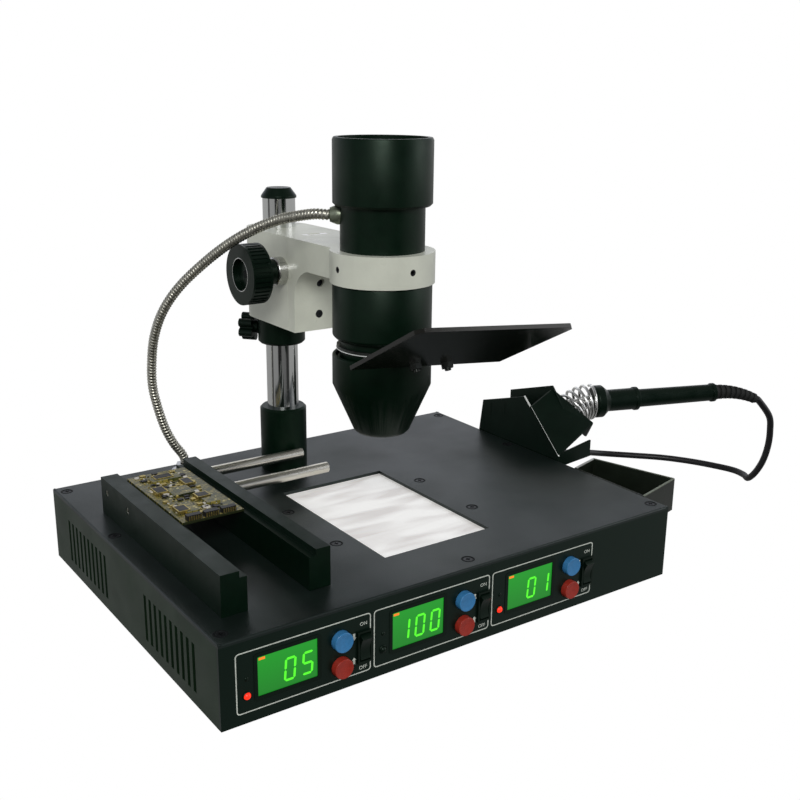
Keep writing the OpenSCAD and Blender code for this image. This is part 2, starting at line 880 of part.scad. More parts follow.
module rocker_frames() {
  color("#0b0b0c") for (i = [0:2]) at_unit(i) translate([rocker_x, 0, control_z]) difference() {
    union() {
      translate([0, -rocker_frame_t / 2, 0]) cube([rocker_w, rocker_frame_t, rocker_h], center = true);
      translate([0, rocker_body / 2, 0])
        cube([rocker_w - rocker_frame_edge, rocker_body, rocker_h - rocker_frame_edge], center = true);
    }
    translate([0, rocker_body / 2 - rocker_frame_t, 0])
      cube([rocker_w - 2 * rocker_frame_edge, rocker_body, rocker_h - 2 * rocker_frame_edge], center = true);
    translate([-rocker_w, rocker_frame_t, 0]) rod_x(rocker_pin_d + 2 * run, 2 * rocker_w);
  }
}

// Rocker paddle on its pin, pressed at the lower end
module rocker(i) {
  paddle_w = rocker_w - 2 * rocker_frame_edge - 2 * gap;
  paddle_h = rocker_h - 2 * rocker_frame_edge - 2 * gap;
  color("#121213") at_unit(i) translate([rocker_x, rocker_frame_t, control_z]) rotate([rocker_tilt, 0, 0]) {
    intersection() {
      translate([0, -rocker_body / 4, 0])
        cube([paddle_w, rocker_body, paddle_h - gap], center = true);
      difference() {
        rotate([0, 90, 0]) cylinder(r = paddle_h / 2 - gap, h = paddle_w, center = true);
        translate([0, -rocker_r - rocker_frame_t * 2, 0]) rotate([0, 90, 0])
          cylinder(r = rocker_r, h = rocker_w, center = true);
        translate([0, paddle_h / 2 + rocker_pin_d, 0])
          cube([rocker_w, paddle_h, paddle_h], center = true);
      }
    }
    translate([-rocker_w / 2 + rocker_frame_edge, 0, 0])
      rod_x(rocker_pin_d, rocker_w - 2 * rocker_frame_edge);
  }
}

// Push button with a dished cap, flange and stem
module button(i, s, shade) {
  color(shade) at_unit(i) translate([button_x, 0, control_z + s * button_gap / 2])
    rotate([-90, 0, 0]) difference() {
    union() {
      translate([0, 0, -button_proud]) cylinder(d = button_d, h = button_proud + panel_t + gap);
      translate([0, 0, panel_t + gap]) cylinder(d = button_flange_d, h = button_flange_t, $fn = fine);
      translate([0, 0, panel_t]) cylinder(d = button_stem_d, h = button_stem_l, $fn = fine);
    }
    translate([0, 0, -button_dish_r - button_proud + button_flange_t / 2]) sphere(r = button_dish_r);
  }
}

module mains_inlet() {
  color("#151515") translate([inlet_x, rear_y, foot_h + inlet_z]) {
    difference() {
      union() {
        translate([0, -inlet_depth / 2 + inlet_flange_t, 0])
          cube([inlet_w, inlet_depth, inlet_h], center = true);
        translate([0, inlet_flange_t / 2, 0]) rotate([90, 0, 0]) linear_extrude(inlet_flange_t, center = true)
          rounded(inlet_flange_w, inlet_flange_h, inlet_flange_t);
      }
      translate([0, inlet_flange_t - inlet_hole_depth / 2 + over, 0])
        cube([inlet_hole_w, inlet_hole_depth + 2 * over, inlet_hole_h], center = true);
    }
    for (i = [-1:1])
      translate([i * pin_gap, inlet_flange_t - inlet_hole_depth + pin_l / 2, (i == 0 ? 1 : -1) * pin_gap / 4])
        cube([pin_t, pin_l, pin_w], center = true);
  }
}

module hose_gland() {
  color("#2a2c2d") translate([gland_x, gland_y, deck]) {
    tube(gland_flange_d, hose_d, gland_flange_t);
    translate([0, 0, gland_flange_t]) difference() {
      cylinder(d = gland_d, h = gland_h - gland_flange_t, $fn = 6);
      translate([0, 0, -over]) cylinder(d = hose_d, h = gland_h, $fn = fine);
    }
  }
}

module iron_socket() {
  color("#8c8e90") translate([right_x, plug_y, plug_z]) difference() {
    union() {
      rod_x(conn_flange_d, conn_flange_t);
      translate([-sheet, 0, 0]) rod_x(conn_d, conn_len + sheet);
    }
    translate([conn_flange_t, 0, 0]) rod_x(conn_d - 2 * sheet, conn_len);
  }
}

module iron_plug() {
  color("#707274") translate([right_x + conn_len, plug_y, plug_z]) {
    rod_x(plug_d, plug_len);
    translate([plug_len, 0, 0]) rotate([0, 90, 0])
      cylinder(d1 = plug_d * plug_neck_share, d2 = plug_boot_d, h = plug_boot_len, $fn = fine);
  }
}

module column_socket() {
  color("#161718") translate([col_x, col_y, deck]) difference() {
    union() {
      cylinder(d = socket_d, h = socket_h - socket_chamfer);
      translate([0, 0, socket_h - socket_chamfer])
        cylinder(d1 = socket_d, d2 = socket_d - 2 * socket_chamfer, h = socket_chamfer);
    }
    translate([0, 0, -over]) cylinder(d = col_d + 2 * run, h = socket_h + 2 * over);
    translate([0, socket_d / 2, socket_h * socket_screw_share]) rotate([90, 0, 0])
      cylinder(d = set_screw_d, h = screw_len / 2, $fn = fine);
  }
}

module column_tube() {
  color("#c9cbcd") translate([col_x, col_y, deck]) tube(col_d, col_d - 2 * col_wall, col_len);
}

module column_cap() {
  cap_r = col_d / 2 + cap_rim;
  color("#121212") translate([col_x, col_y, deck + col_len]) {
    rotate_extrude()
      polygon([[0, 0], [cap_r, 0], [cap_r, cap_skirt / 2], [cap_r - cap_slope, cap_h], [0, cap_h]]);
    translate([0, 0, -cap_h]) cylinder(r = col_d / 2 - col_wall - run, h = cap_h);
  }
}

module height_collar() {
  color("#1a1b1c") translate([col_x, col_y, mount_z - collar_h]) difference() {
    union() {
      translate([0, 0, socket_chamfer]) cylinder(d = collar_d, h = collar_h - socket_chamfer);
      cylinder(d1 = collar_d - 2 * socket_chamfer, d2 = collar_d, h = socket_chamfer);
    }
    translate([0, 0, -over]) cylinder(d = col_d + 2 * run, h = collar_h + 2 * over);
    rotate([0, 0, lock_angle]) translate([0, 0, collar_h / 2 - lock_drop])
      rod_x(lock_stem_d + 2 * run, collar_d);
  }
}

module collar_knob() {
  color("#0e0e0f") translate([col_x, col_y, mount_z - collar_h / 2 - lock_drop]) rotate([0, 0, lock_angle])
    translate([col_d / 2 + gap, 0, 0]) lobed_knob(lock_reach - lock_t / 2 - col_d / 2 - gap);
}

module focus_mount() {
  color("#dfe0d6") difference() {
    translate([col_x, 0, mount_z]) union() {
      translate([-mount_w / 2, mount_y, 0]) cube([mount_w, mount_reach, mount_h]);
      translate([0, col_y, 0]) cylinder(r = mount_rear_r, h = mount_h);
    }
    translate([col_x, col_y, mount_z - over]) cylinder(d = col_d + 2 * run, h = mount_h + 2 * over);
    translate([col_x - mount_w, pinion_y, pinion_z]) rod_x(shaft_d + 2 * run, 2 * mount_w);
    translate([col_x - pinion_w / 2 - gap, pinion_y, pinion_z])
      rod_x(2 * (pinion_pitch_r + gear_m) + 2 * gap, pinion_w + 2 * gap);
    translate([col_x, mount_y, mount_z - over]) linear_extrude(mount_h + 2 * over)
      dovetail(run, 4 * run);
    translate([col_x, col_y, mount_z + mount_h * mount_lock_share]) rotate([0, 0, 90])
      rod_x(lock_stem_d + 2 * run, mount_w);
  }
}

// Plan of the slide: narrow at the sliding face, wide inside; side and depth clearances
module dovetail(side, deep) {
  wide = dove_wide / 2 + side + deep * (dove_wide - dove_w) / 2 / dove_depth;
  polygon([[-dove_w / 2 - side, -over], [dove_w / 2 + side, -over], [dove_w / 2 + side, 0],
    [wide, dove_depth + deep], [-wide, dove_depth + deep], [-dove_w / 2 - side, 0]]);
}

module pinion_bushes() {
  color("#b9bcbf") for (s = [-1, 1])
    translate([col_x + s * mount_w / 2, pinion_y, pinion_z]) rotate([0, s * 90, 0]) difference() {
      union() {
        cylinder(d = bush_d, h = bush_t - sheet / 2);
        translate([0, 0, bush_t - sheet / 2])
          cylinder(d1 = bush_d, d2 = bush_d - sheet, h = sheet / 2);
      }
      translate([0, 0, -over]) cylinder(d = shaft_d + 2 * run, h = bush_t + 2 * over, $fn = fine);
    }
}

module mount_lock_knob() {
  stem = mount_rear_r - col_d / 2 + lock_t / 2;
  color("#0e0e0f") translate([col_x, col_y + col_d / 2 + gap, mount_z + mount_h * mount_lock_share])
    rotate([0, 0, 90]) lobed_knob(stem);
}

// Teeth as wedges narrower than half the pitch
tooth_pitch = 180 / pinion_teeth * 2 * pinion_pitch_r * PI / 180;
tooth_root_share = 0.24;
tooth_tip_share = 0.12;
root_gap_share = 1.25;
space_slack_share = 1.15;

module tooth(height) {
  root = gear_m * root_gap_share;
  polygon([[-root - over / 2, -tooth_pitch * tooth_root_share], [height, -tooth_pitch * tooth_tip_share],
    [height, tooth_pitch * tooth_tip_share], [-root - over / 2, tooth_pitch * tooth_root_share]]);
}

module pinion_shaft() {
  half = knob_start + mount_w / 2 + knob_t - knob_recess_t;
  color("#a9acae") translate([col_x, pinion_y, pinion_z]) {
    translate([-half, 0, 0]) rod_x(shaft_d, 2 * half);
    rotate([0, 90, 0]) linear_extrude(pinion_w, center = true) {
      circle(r = pinion_pitch_r - gear_m * root_gap_share, $fn = fine);
      for (k = [0:pinion_teeth - 1]) rotate([0, 0, k * 360 / pinion_teeth - 90])
        translate([pinion_pitch_r, 0, 0]) tooth(gear_m);
    }
  }
}

module focus_knob() {
  difference() {
    union() {
      cylinder(d = knob_hub_d, h = knob_start - bush_t - gap + over, $fn = fine);
      translate([0, 0, knob_start - bush_t - gap]) cylinder(d = knob_d, h = knob_t);
    }
    translate([0, 0, -over]) cylinder(d = shaft_d, h = knob_start + knob_t, $fn = fine);
    translate([0, 0, knob_start - bush_t - gap + knob_t - knob_recess_t])
      cylinder(d = knob_recess_d, h = knob_t);
    for (k = [0:knurl_count - 1]) rotate([0, 0, k * 360 / knurl_count])
      translate([knob_d / 2, 0, knob_start - bush_t - gap + knob_t / 2])
        cube([2 * knurl_depth, knurl_w, knob_t - 2 * sheet], center = true);
  }
}

module focus_knobs() {
  color("#101112") for (s = [-1, 1])
    translate([col_x + s * (mount_w / 2 + bush_t + gap), pinion_y, pinion_z]) rotate([0, s * 90, 0])
      focus_knob();
}

module ring_carriage() {
  foot = ring_z - arch_r;
  color("#e3e4da") difference() {
    union() {
      translate([col_x - mount_w / 2, 0, 0]) rotate([90, 0, 90]) linear_extrude(mount_w) difference() {
        union() {
          translate([carriage_y - carriage_t, mount_z]) square([carriage_t, mount_h]);
          translate([lamp_y, ring_z]) square([carriage_y - lamp_y, ring_h]);
          translate([carriage_y - carriage_t - arch_r, foot]) square([arch_r + over, arch_r + over]);
        }
        translate([carriage_y - carriage_t - arch_r, foot]) circle(r = arch_r);
        translate([carriage_y - carriage_t - arch_r - over, foot - over]) square([over, arch_r + over]);
      }
      translate([col_x, lamp_y, ring_z]) cylinder(d = ring_d, h = ring_h);
    }
    translate([col_x, lamp_y, ring_z - over]) cylinder(d = upper_d, h = ring_h + 2 * over);
    for (a = [-90, 0, 180]) translate([col_x, lamp_y, ring_z + ring_h / 2]) rotate([0, 0, a])
      translate([upper_d / 2 - over, 0, 0]) rod_x(set_screw_d, 2 * ring_wall);
    for (k = [0, 1])
      translate([col_x + head_screw_x, carriage_y - carriage_t, mount_z + head_screw_low + k * head_screw_gap])
      rotate([-90, 0, 0]) {
        translate([0, 0, -arch_r]) cylinder(d = head_screw_d + 2 * gap, h = arch_r + screw_head_h, $fn = fine);
        translate([0, 0, -over]) cylinder(d = head_pin_d, h = carriage_t + 2 * over, $fn = fine);
      }
  }
}

module rack_slide() {
  face = pinion_back - pinion_pitch_r + gear_m;
  last = ceil(mount_h / tooth_pitch / 2);
  color("#b4b7b9") translate([col_x, mount_y, mount_z]) difference() {
    linear_extrude(mount_h) polygon([[-dove_w / 2, -gap], [dove_w / 2, -gap], [dove_w / 2, 0],
      [dove_wide / 2, dove_depth], [-dove_wide / 2, dove_depth], [-dove_w / 2, 0]]);
    translate([-rack_w / 2, face, -over]) cube([rack_w, dove_depth, mount_h + 2 * over]);
    translate([-rack_w / 2, pinion_back - pinion_pitch_r, pinion_lift]) for (k = [-last:last])
      translate([0, 0, k * tooth_pitch]) rotate([0, 90, 0]) linear_extrude(rack_w) rack_space();
  }
}

// Space between two rack teeth, open towards the pinion
module rack_space() {
  root = gear_m * root_gap_share;
  wide = tooth_pitch * (1 / 2 + tooth_root_share) / 2 * space_slack_share;
  narrow = tooth_pitch * (1 / 2 - tooth_tip_share) / 2 * space_slack_share;
  polygon([[-narrow, -root], [narrow, -root], [wide, gear_m + over], [-wide, gear_m + over]]);
}

module head_screws() {
  color("#35373a") {
    for (a = [-90, 0, 180]) translate([col_x, lamp_y, ring_z + ring_h / 2]) rotate([0, 0, a])
      translate([upper_d / 2, 0, 0]) rotate([0, 90, 0]) difference() {
        cylinder(d = set_screw_d, h = ring_wall - gap, $fn = fine);
        translate([0, 0, ring_wall / 2]) cylinder(d = hex_key, h = ring_wall, $fn = 6);
      }
    for (k = [0, 1])
      translate([col_x + head_screw_x, carriage_y - carriage_t + screw_head_h,
        mount_z + head_screw_low + k * head_screw_gap])
        rotate([90, 0, 0]) screw(head_screw_d, screw_head_h, head_pin_d, carriage_t - screw_head_h);
  }
}

module upper_barrel() {
  color("#141515") translate([col_x, lamp_y, ring_z - screw_in])
    difference() {
      cylinder(d = upper_d, h = screw_in + ring_h + upper_len + cap_seat);
      translate([0, 0, -over])
        cylinder(d = lamp_bore_d, h = screw_in + ring_h + upper_len + cap_seat + 2 * over);
    }
}

module lamp_cap() {
  inner = cap_d - 2 * cap_wall;
  color("#0f1010") translate([col_x, lamp_y, cap_base]) difference() {
    union() {
      translate([0, 0, sheet]) cylinder(d = cap_d, h = cap_len - 2 * sheet);
      cylinder(d1 = cap_d - 2 * sheet, d2 = cap_d, h = sheet);
      translate([0, 0, cap_len - sheet]) cylinder(d1 = cap_d, d2 = cap_d - sheet, h = sheet);
    }
    translate([0, 0, -over]) cylinder(d = upper_d + 2 * run, h = cap_seat + over);
    translate([0, 0, -over]) cylinder(d = cap_hole_d, h = cap_len);
    translate([0, 0, cap_seat + cap_web]) cylinder(d = inner, h = cap_len);
    for (k = [1:cap_vents]) rotate([0, 0, k * 360 / cap_vents])
      translate([cap_hole_d / 2 + cap_wall, 0, cap_seat - over])
        cylinder(d = cap_wall, h = cap_seat, $fn = fine);
    rotate([0, 0, cap_slit_angle])
      translate([cap_d / 2 - 2 * cap_wall, -cap_slit / 2, cap_seat + 2 * cap_web])
        cube([3 * cap_wall, cap_slit, cap_len]);
  }
}

module lower_barrel() {
  color("#151616") translate([col_x, lamp_y, lower_z]) difference() {
    union() {
      translate([0, 0, lower_chamfer]) cylinder(d = lower_d, h = lower_len - lower_chamfer - sheet);
      translate([0, 0, lower_len - sheet]) cylinder(d1 = lower_d, d2 = lower_d - sheet, h = sheet);
      cylinder(d1 = lower_d - 2 * lower_chamfer, d2 = lower_d, h = lower_chamfer);
      translate([0, 0, -neck_len]) cylinder(d = neck_d, h = neck_len + over);
    }
    translate([0, 0, -neck_len - over]) cylinder(d = lamp_bore_d, h = neck_len + lower_len);
    translate([0, 0, lower_len - screw_in]) cylinder(d = upper_d + 2 * run, h = screw_in + over);
  }
}

module lamp_reflector() {
  seat = lower_z + lower_len - screw_in;
  color("#cfd1d2") translate([col_x, lamp_y, seat - reflector_h]) difference() {
    union() {
      cylinder(r1 = lamp_bore_d / 2, r2 = holder_d / 2 + reflector_t, h = reflector_h);
      translate([0, 0, reflector_h]) cylinder(d = holder_d, h = holder_h);
    }
    translate([0, 0, -over]) cylinder(r1 = lamp_bore_d / 2 - reflector_t, r2 = holder_d / 2, h = reflector_h);
    translate([0, 0, reflector_h - reflector_t])
      cylinder(d = bulb_d, h = holder_h / 2 + reflector_t, $fn = fine);
  }
}

module lamp_bulb() {
  seat = lower_z + lower_len - screw_in;
  color("#e9f0f2") translate([col_x, lamp_y, seat - reflector_t]) {
    cylinder(d = bulb_d - 2 * gap, h = holder_h / 2, $fn = fine);
    translate([0, 0, bulb_d / 2 - bulb_h])
      cylinder(d = bulb_d - 2 * gap, h = bulb_h - bulb_d / 2 + over, $fn = fine);
    translate([0, 0, bulb_d / 2 - bulb_h]) sphere(d = bulb_d - 2 * gap, $fn = fine);
  }
}

module hose_fitting() {
  color("#3a4038") translate([col_x, lamp_y, fitting_z]) rotate([0, 0, fitting_angle]) difference() {
    union() {
      translate([upper_d / 2 - barrel_wall / 2, 0, 0]) rod_x(fitting_d, fitting_len / 2);
      translate([upper_d / 2 - barrel_wall / 2 + fitting_len / 2, 0, 0]) rotate([0, 90, 0])
        cylinder(d1 = fitting_d, d2 = fitting_tip_d, h = fitting_len / 2 + barrel_wall / 2, $fn = fine);
    }
    cylinder(d = upper_d, h = 2 * fitting_d, center = true);
  }
}

module nozzle_cup() {
  r = cup_d / 2;
  bore = neck_d / 2 + run;
  mouth = mouth_d / 2;
  color("#131414") translate([col_x, lamp_y, cup_top]) rotate_extrude() difference() {
    polygon([[0, 0], [r - sheet / 2, 0], [r, -sheet / 2], [r, -cup_h], [mouth, -cup_h - cone_h + mouth_round],
      [mouth - mouth_round, -cup_h - cone_h], [0, -cup_h - cone_h]]);
    polygon([[-over, over], [bore, over], [bore, -cup_web_drop], [bore - mouth_wall, -cup_web_drop],
      [bore - mouth_wall, -cup_h], [mouth - mouth_wall, -cup_h - cone_h - over],
      [-over, -cup_h - cone_h - over]]);
    polygon([[bore + sleeve_wall, over], [r - cup_wall, over], [r - cup_wall, -cup_web_drop + cup_wall],
      [bore + sleeve_wall, -cup_web_drop + cup_wall]]);
    translate([bore - over, -sleeve_top_drop]) square([r - cup_wall - bore, sleeve_top_drop + over]);
  }
}

// Lens between two spherical faces, seated in the cone
module focus_lens() {
  z = cup_top - cup_h - cone_h + lens_seat;
  taper = (cup_top - cup_h - z) / cone_h;
  lens_r = mouth_d / 2 - mouth_wall + (neck_d - mouth_d) / 2 * (1 - taper) - gap;
  ball = (lens_r * lens_r + lens_bulge * lens_bulge) / (2 * lens_bulge);
  half = asin(lens_r / ball);
  rise = lens_bulge + lens_t / 2 - ball;
  upper = [for (k = [0:lens_steps]) let (a = half * k / lens_steps) [ball * sin(a), rise + ball * cos(a)]];
  lower = [for (k = [0:lens_steps]) let (a = half * (1 - k / lens_steps))
    [ball * sin(a), -rise - ball * cos(a)]];
  color("#dfe8ea") translate([col_x, lamp_y, z]) rotate_extrude() polygon(concat(upper, lower));
}

// Frame of the shield: origin at the middle of its lower edge
module at_shield() {
  translate([col_x, lamp_y, lower_z]) rotate([0, 0, shield_yaw])
    translate([shield_x, -shield_back, -shield_drop])
      rotate([-shield_rise, 0, 0]) rotate([0, shield_roll, 0]) children();
}

module at_shield_screws() {
  at_shield() for (s = [-1, 1])
    translate([tab_x - shield_x + s * shield_screw_gap / 2, -tab_lap / 2, 0]) children();
}

// Ring round the neck with a tab that widens down onto the shield, its screws and nuts
module clip_ring() {
  inner = neck_d + 2 * run;
  color("#c4c6c8") {
    translate([col_x, lamp_y, lower_z - clip_drop]) rotate([0, 0, shield_yaw]) difference() {
      union() {
        cylinder(d = inner + 2 * clip_wall, h = clip_h);
        translate([tab_x - tab_w / 2, -tab_reach, 0]) cube([tab_w, tab_reach, tab_t]);
      }
      translate([0, 0, -over]) cylinder(d = inner, h = clip_h + 2 * over);
    }
    hull() {
      translate([col_x, lamp_y, lower_z - clip_drop]) rotate([0, 0, shield_yaw])
        translate([tab_x - tab_w / 2 + gap, gap - tab_reach, gap])
          cube([tab_w - 2 * gap, gap, tab_t - 2 * gap]);
      at_shield() translate([tab_x - shield_x - tab_w / 2, -tab_lap, shield_t])
        cube([tab_w, tab_lap, tab_t]);
    }
    at_shield_screws() {
      translate([0, 0, -nut_h]) cylinder(d = nut_d, h = nut_h, $fn = 6);
      translate([0, 0, -nut_h - tab_t])
        cylinder(d = nut_screw_d, h = nut_h + tab_t + shield_t + over, $fn = fine);
    }
  }
}

module glare_shield() {
  color("#2a211c") difference() {
    at_shield() translate([0, -shield_l / 2, 0]) linear_extrude(shield_t) difference() {
      square([shield_w, shield_l], center = true);
      for (sx = [-1, 1]) translate([sx * shield_w / 2, -shield_l / 2]) rotate([0, 0, 45])
        square([shield_cut, shield_cut], center = true);
    }
    at_shield_screws() translate([0, 0, -over])
      cylinder(d = nut_screw_d, h = shield_t + 2 * over, $fn = fine);
  }
}

module left_bar() {
  color("#131415") translate([left_x, left_y, deck]) difference() {
    cube([left_w, left_len, bar_h]);
    translate([left_w - ledge_w, -over, bar_h - ledge_drop])
      cube([ledge_w + over, left_len + 2 * over, ledge_drop + over]);
    for (y = [rod_1_y, rod_2_y]) translate([0, y - left_y, rod_z]) {
      translate([-over, 0, 0]) rod_x(rod_head_d + 2 * run, left_w);
      translate([rod_seat + rod_head_h, 0, 0]) rod_x(rod_d, left_w);
    }
  }
}

module guide_rods() {
  color("#c3c5c7") for (y = [rod_1_y, rod_2_y]) translate([left_x, y, deck + rod_z]) {
    translate([rod_seat + rod_head_h, 0, 0]) rod_x(rod_d, rod_reach - rod_seat - rod_head_h);
    translate([rod_seat, 0, 0]) difference() {
      rod_x(rod_head_d, rod_head_h + over);
      translate([-over, 0, 0]) rotate([0, 90, 0]) cylinder(d = hex_key, h = rod_head_h, $fn = 6);
    }
  }
}

module sliding_bar() {
  color("#131415") translate([right_bar_x, right_bar_y, deck + gap]) difference() {
    cube([right_w, right_len, bar_h - gap]);
    translate([-over, -over, bar_h - gap - ledge_drop])
      cube([ledge_w + over, right_len + 2 * over, ledge_drop + over]);
    for (y = [rod_1_y, rod_2_y]) translate([-over, y - right_bar_y, rod_z - gap])
      rod_x(rod_d + 2 * run, right_w + 2 * over);
  }
}

module sample_board() {
  slack = (right_bar_x + ledge_w - left_x - left_w + ledge_w - board_w) / 2;
  x0 = left_x + left_w - ledge_w + slack;
  color("#6f7a3a") translate([x0, board_y, deck + bar_h - ledge_drop + gap / 3]) {
    cube([board_w, board_len, board_t]);
    for (c = chip_shares) translate([board_w * c[0], board_len * c[1], board_t])
      cube([board_w * c[2], board_w * c[3], chip_h]);
  }
}

// Plan of the tray, set out from the right side of the case
tray_plan = [[0, tray_front_y], [tray_reach, tray_front_y + tray_nose],
  [tray_rear_reach, tray_front_y + tray_nose + tray_l],
  [0, tray_front_y + tray_nose + tray_l - tray_rear_drop]];

module tool_tray() {
  inset = tray_sheet;
  inner = [[inset, tray_front_y + inset * tray_front_share],
    [tray_reach - inset, tray_front_y + tray_nose + inset],
    [tray_rear_reach - inset, tray_front_y + tray_nose + tray_l - inset * tray_rear_share],
    [inset, tray_front_y + tray_nose + tray_l - tray_rear_drop - inset]];
  color("#1c1e20") translate([right_x, 0, deck - tray_h]) difference() {
    linear_extrude(tray_h) polygon(tray_plan);
    translate([0, 0, tray_sheet]) linear_extrude(tray_h) polygon(inner);
  }
}

// Plate through four corner points, as a sheet of the holder thickness
module plate(corners) {
  hull() for (c = corners) translate(c) cube(holder_sheet, center = true);
}

module iron_holder() {
  x = holder_x - holder_sheet / 2;
  top = [[x, slope_left_y, slope_left_z], slope_top, slope_foot, [x, fin_foot_y, fin_foot_z]];
  color("#161819") translate([right_x, 0, 0]) difference() {
    union() {
      rotate([90, 0, 90]) linear_extrude(holder_sheet)
        polygon([[fin_rear_y, fin_base_z], [fin_rear_y, deck], [fin_rear_y - foot_h, fin_rear_z],
          [fin_top_y, fin_top_z], [fin_foot_y, fin_foot_z], [fin_foot_y, fin_base_z]]);
      plate(top);
      plate([slope_top, slope_foot, seat_rear_foot, seat_rear_top]);
      plate([seat_rear_top, seat_rear_top - [0, 0, back_h], [x, back_left_y, seat_rear_top[2] - back_h / 2],
        [x, back_left_y, seat_rear_top[2] + sheet]]);
      plate([[wall_x, wall_front_y, wall_front_z], [wall_x, wall_low_y, wall_low_z],
        [wall_x, wall_rear_y, wall_rear_z], [wall_x, wall_rear_y, wall_rear_z - wall_rear_h]]);
      plate([[wall_x, wall_rear_y, fin_rear_z], [wall_x, wall_rear_y, wall_rear_z - wall_rear_h],
        [x, wall_rear_y, fin_rear_z], [x, wall_rear_y, wall_rear_z - wall_rear_h]]);
      plate([[x, fin_foot_y, fin_foot_z], [x, fin_foot_y, lip_foot_z],
        [lip_reach, fin_foot_y, lip_top_z], [lip_reach, fin_foot_y, lip_low_z]]);
    }
    translate([spring_x, spring_y, spring_z]) rotate([0, -seat_pitch, seat_yaw])
      translate([-wire_d * 3, 0, 0]) rod_x(spring_d * seat_bore_share, wire_d * 6);
    translate([-right_x, 0, 0]) at_iron() rotate([0, -90, 0])
      cylinder(d = iron_barrel_d + 2 * barrel_clear, h = iron_barrel_l + iron_tip_l + barrel_clear, $fn = fine);
  }
}

module holder_spring() {
  steps = spring_turns * spring_steps;
  color("#d5d7d8") sweep([for (i = [0:steps]) coil_point(i / steps)], wire_d / 2, wire_sides, iron_dir);
}

// Frame of the iron: +X along the handle, origin at its flange
module at_iron() {
  translate(iron_start) rotate([0, -iron_pitch, iron_yaw]) children();
}

module iron_handle() {
  r = handle_d / 2;
  tail = handle_tail_d / 2;
  ring_start = flange_t + grip_l;
  ring_end = ring_start + grip_ring_t;
  color("#1a1c1b") at_iron() rotate([90, 0, 90]) difference() {
    rotate_extrude() polygon([[0, 0], [flange_d / 2 - sheet, 0], [flange_d / 2, sheet],
      [flange_d / 2, flange_t],
      [grip_d / 2, flange_t + flange_taper], [grip_d / 2, ring_start], [grip_ring_d / 2, ring_start],
      [grip_ring_d / 2, ring_end], [r, ring_end], [tail, handle_l - tail_ring_t],
      [tail_ring_d / 2, handle_l - tail_ring_t], [tail_ring_d / 2, handle_l], [0, handle_l]]);
    translate([0, 0, -over]) cylinder(d = iron_barrel_d + 2 * run, h = flange_t, $fn = fine);
  }
}

module iron_barrel() {
  seat = flange_t - over;
  color("#b8babc") at_iron() rotate([0, -90, 0]) {
    translate([0, 0, -seat]) cylinder(d = iron_barrel_d, h = iron_barrel_l + seat, $fn = fine);
    cylinder(d = iron_nut_d, h = iron_nut_l, $fn = fine);
    translate([0, 0, iron_barrel_l])
      cylinder(d1 = iron_tip_d, d2 = iron_tip_d / 5, h = iron_tip_l, $fn = fine);
  }
}

// Ribbed boot that curves down to the cord, one ribbed link after the other
module boot_link(i) {
  d = boot_d0 + (boot_d1 - boot_d0) * i / (boot_ribs - 1);
  rod_x(d, boot_step * boot_rib_share);
  rod_x(d * boot_core_share, boot_step + (i < boot_ribs - 1 ? over / 4 : 0));
  if (i < boot_ribs - 1) translate([boot_step, 0, 0]) rotate([0, boot_bend, 0]) boot_link(i + 1);
}

module iron_boot() {
  color("#121413") at_iron() translate([handle_l, 0, 0]) boot_link(0);
}

module armoured_hose() {
  color("#a8a9a4") sweep(concat([gland_top], curve(hose_route, 2), [fitting_tip]), hose_d / 2,
    tube_sides, hose_side);
}

module iron_cord() {
  color("#161718") sweep(concat([plug_end], curve(cord_route, 2), [boot_end]), cord_d / 2,
    tube_sides, cord_side);
}

chassis();
top_cover();
front_panel();
rubber_feet();
cover_screws();
heater_plate();
heater_tray();
heater_tubes();
transformer();
control_board();
display_windows();
rocker_frames();
mains_inlet();
hose_gland();
iron_socket();
column_socket();
column_tube();
column_cap();
tool_tray();
iron_holder();
holder_spring();
armoured_hose();
iron_cord();
iron_plug();
left_bar();
guide_rods();
sliding_bar();
sample_board();
height_collar();
collar_knob();
focus_mount();
pinion_bushes();
mount_lock_knob();
pinion_shaft();
focus_knobs();
ring_carriage();
rack_slide();
head_screws();
upper_barrel();
lamp_cap();
lower_barrel();
lamp_bulb();
lamp_reflector();
hose_fitting();
nozzle_cup();
focus_lens();
clip_ring();
glare_shield();
iron_handle();
iron_barrel();
iron_boot();
rocker(0);  // rocker_1
rocker(1);  // rocker_2
rocker(2);  // rocker_3
button(0, 1, "#1f78c8");  // up_button_1
button(1, 1, "#1f78c8");  // up_button_2
button(2, 1, "#1f78c8");  // up_button_3
button(0, -1, "#c8262c");  // down_button_1
button(1, -1, "#c8262c");  // down_button_2
button(2, -1, "#c8262c");  // down_button_3
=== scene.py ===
import math
import random

import bmesh
import bpy
from mathutils import Matrix, Vector


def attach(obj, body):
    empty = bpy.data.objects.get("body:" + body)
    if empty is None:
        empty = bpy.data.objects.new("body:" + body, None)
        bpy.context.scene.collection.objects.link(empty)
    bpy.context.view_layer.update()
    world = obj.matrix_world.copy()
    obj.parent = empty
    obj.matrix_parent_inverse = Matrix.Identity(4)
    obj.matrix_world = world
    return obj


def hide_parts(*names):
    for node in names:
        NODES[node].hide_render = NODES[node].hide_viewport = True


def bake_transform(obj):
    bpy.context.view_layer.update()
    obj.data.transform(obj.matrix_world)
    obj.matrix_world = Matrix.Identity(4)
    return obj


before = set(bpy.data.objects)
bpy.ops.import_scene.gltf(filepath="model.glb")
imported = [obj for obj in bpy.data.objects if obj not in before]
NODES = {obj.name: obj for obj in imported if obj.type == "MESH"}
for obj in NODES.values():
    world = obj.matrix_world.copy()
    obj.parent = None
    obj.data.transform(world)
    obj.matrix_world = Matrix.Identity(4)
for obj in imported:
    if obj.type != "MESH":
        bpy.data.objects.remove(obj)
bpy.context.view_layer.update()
MM = 0.001

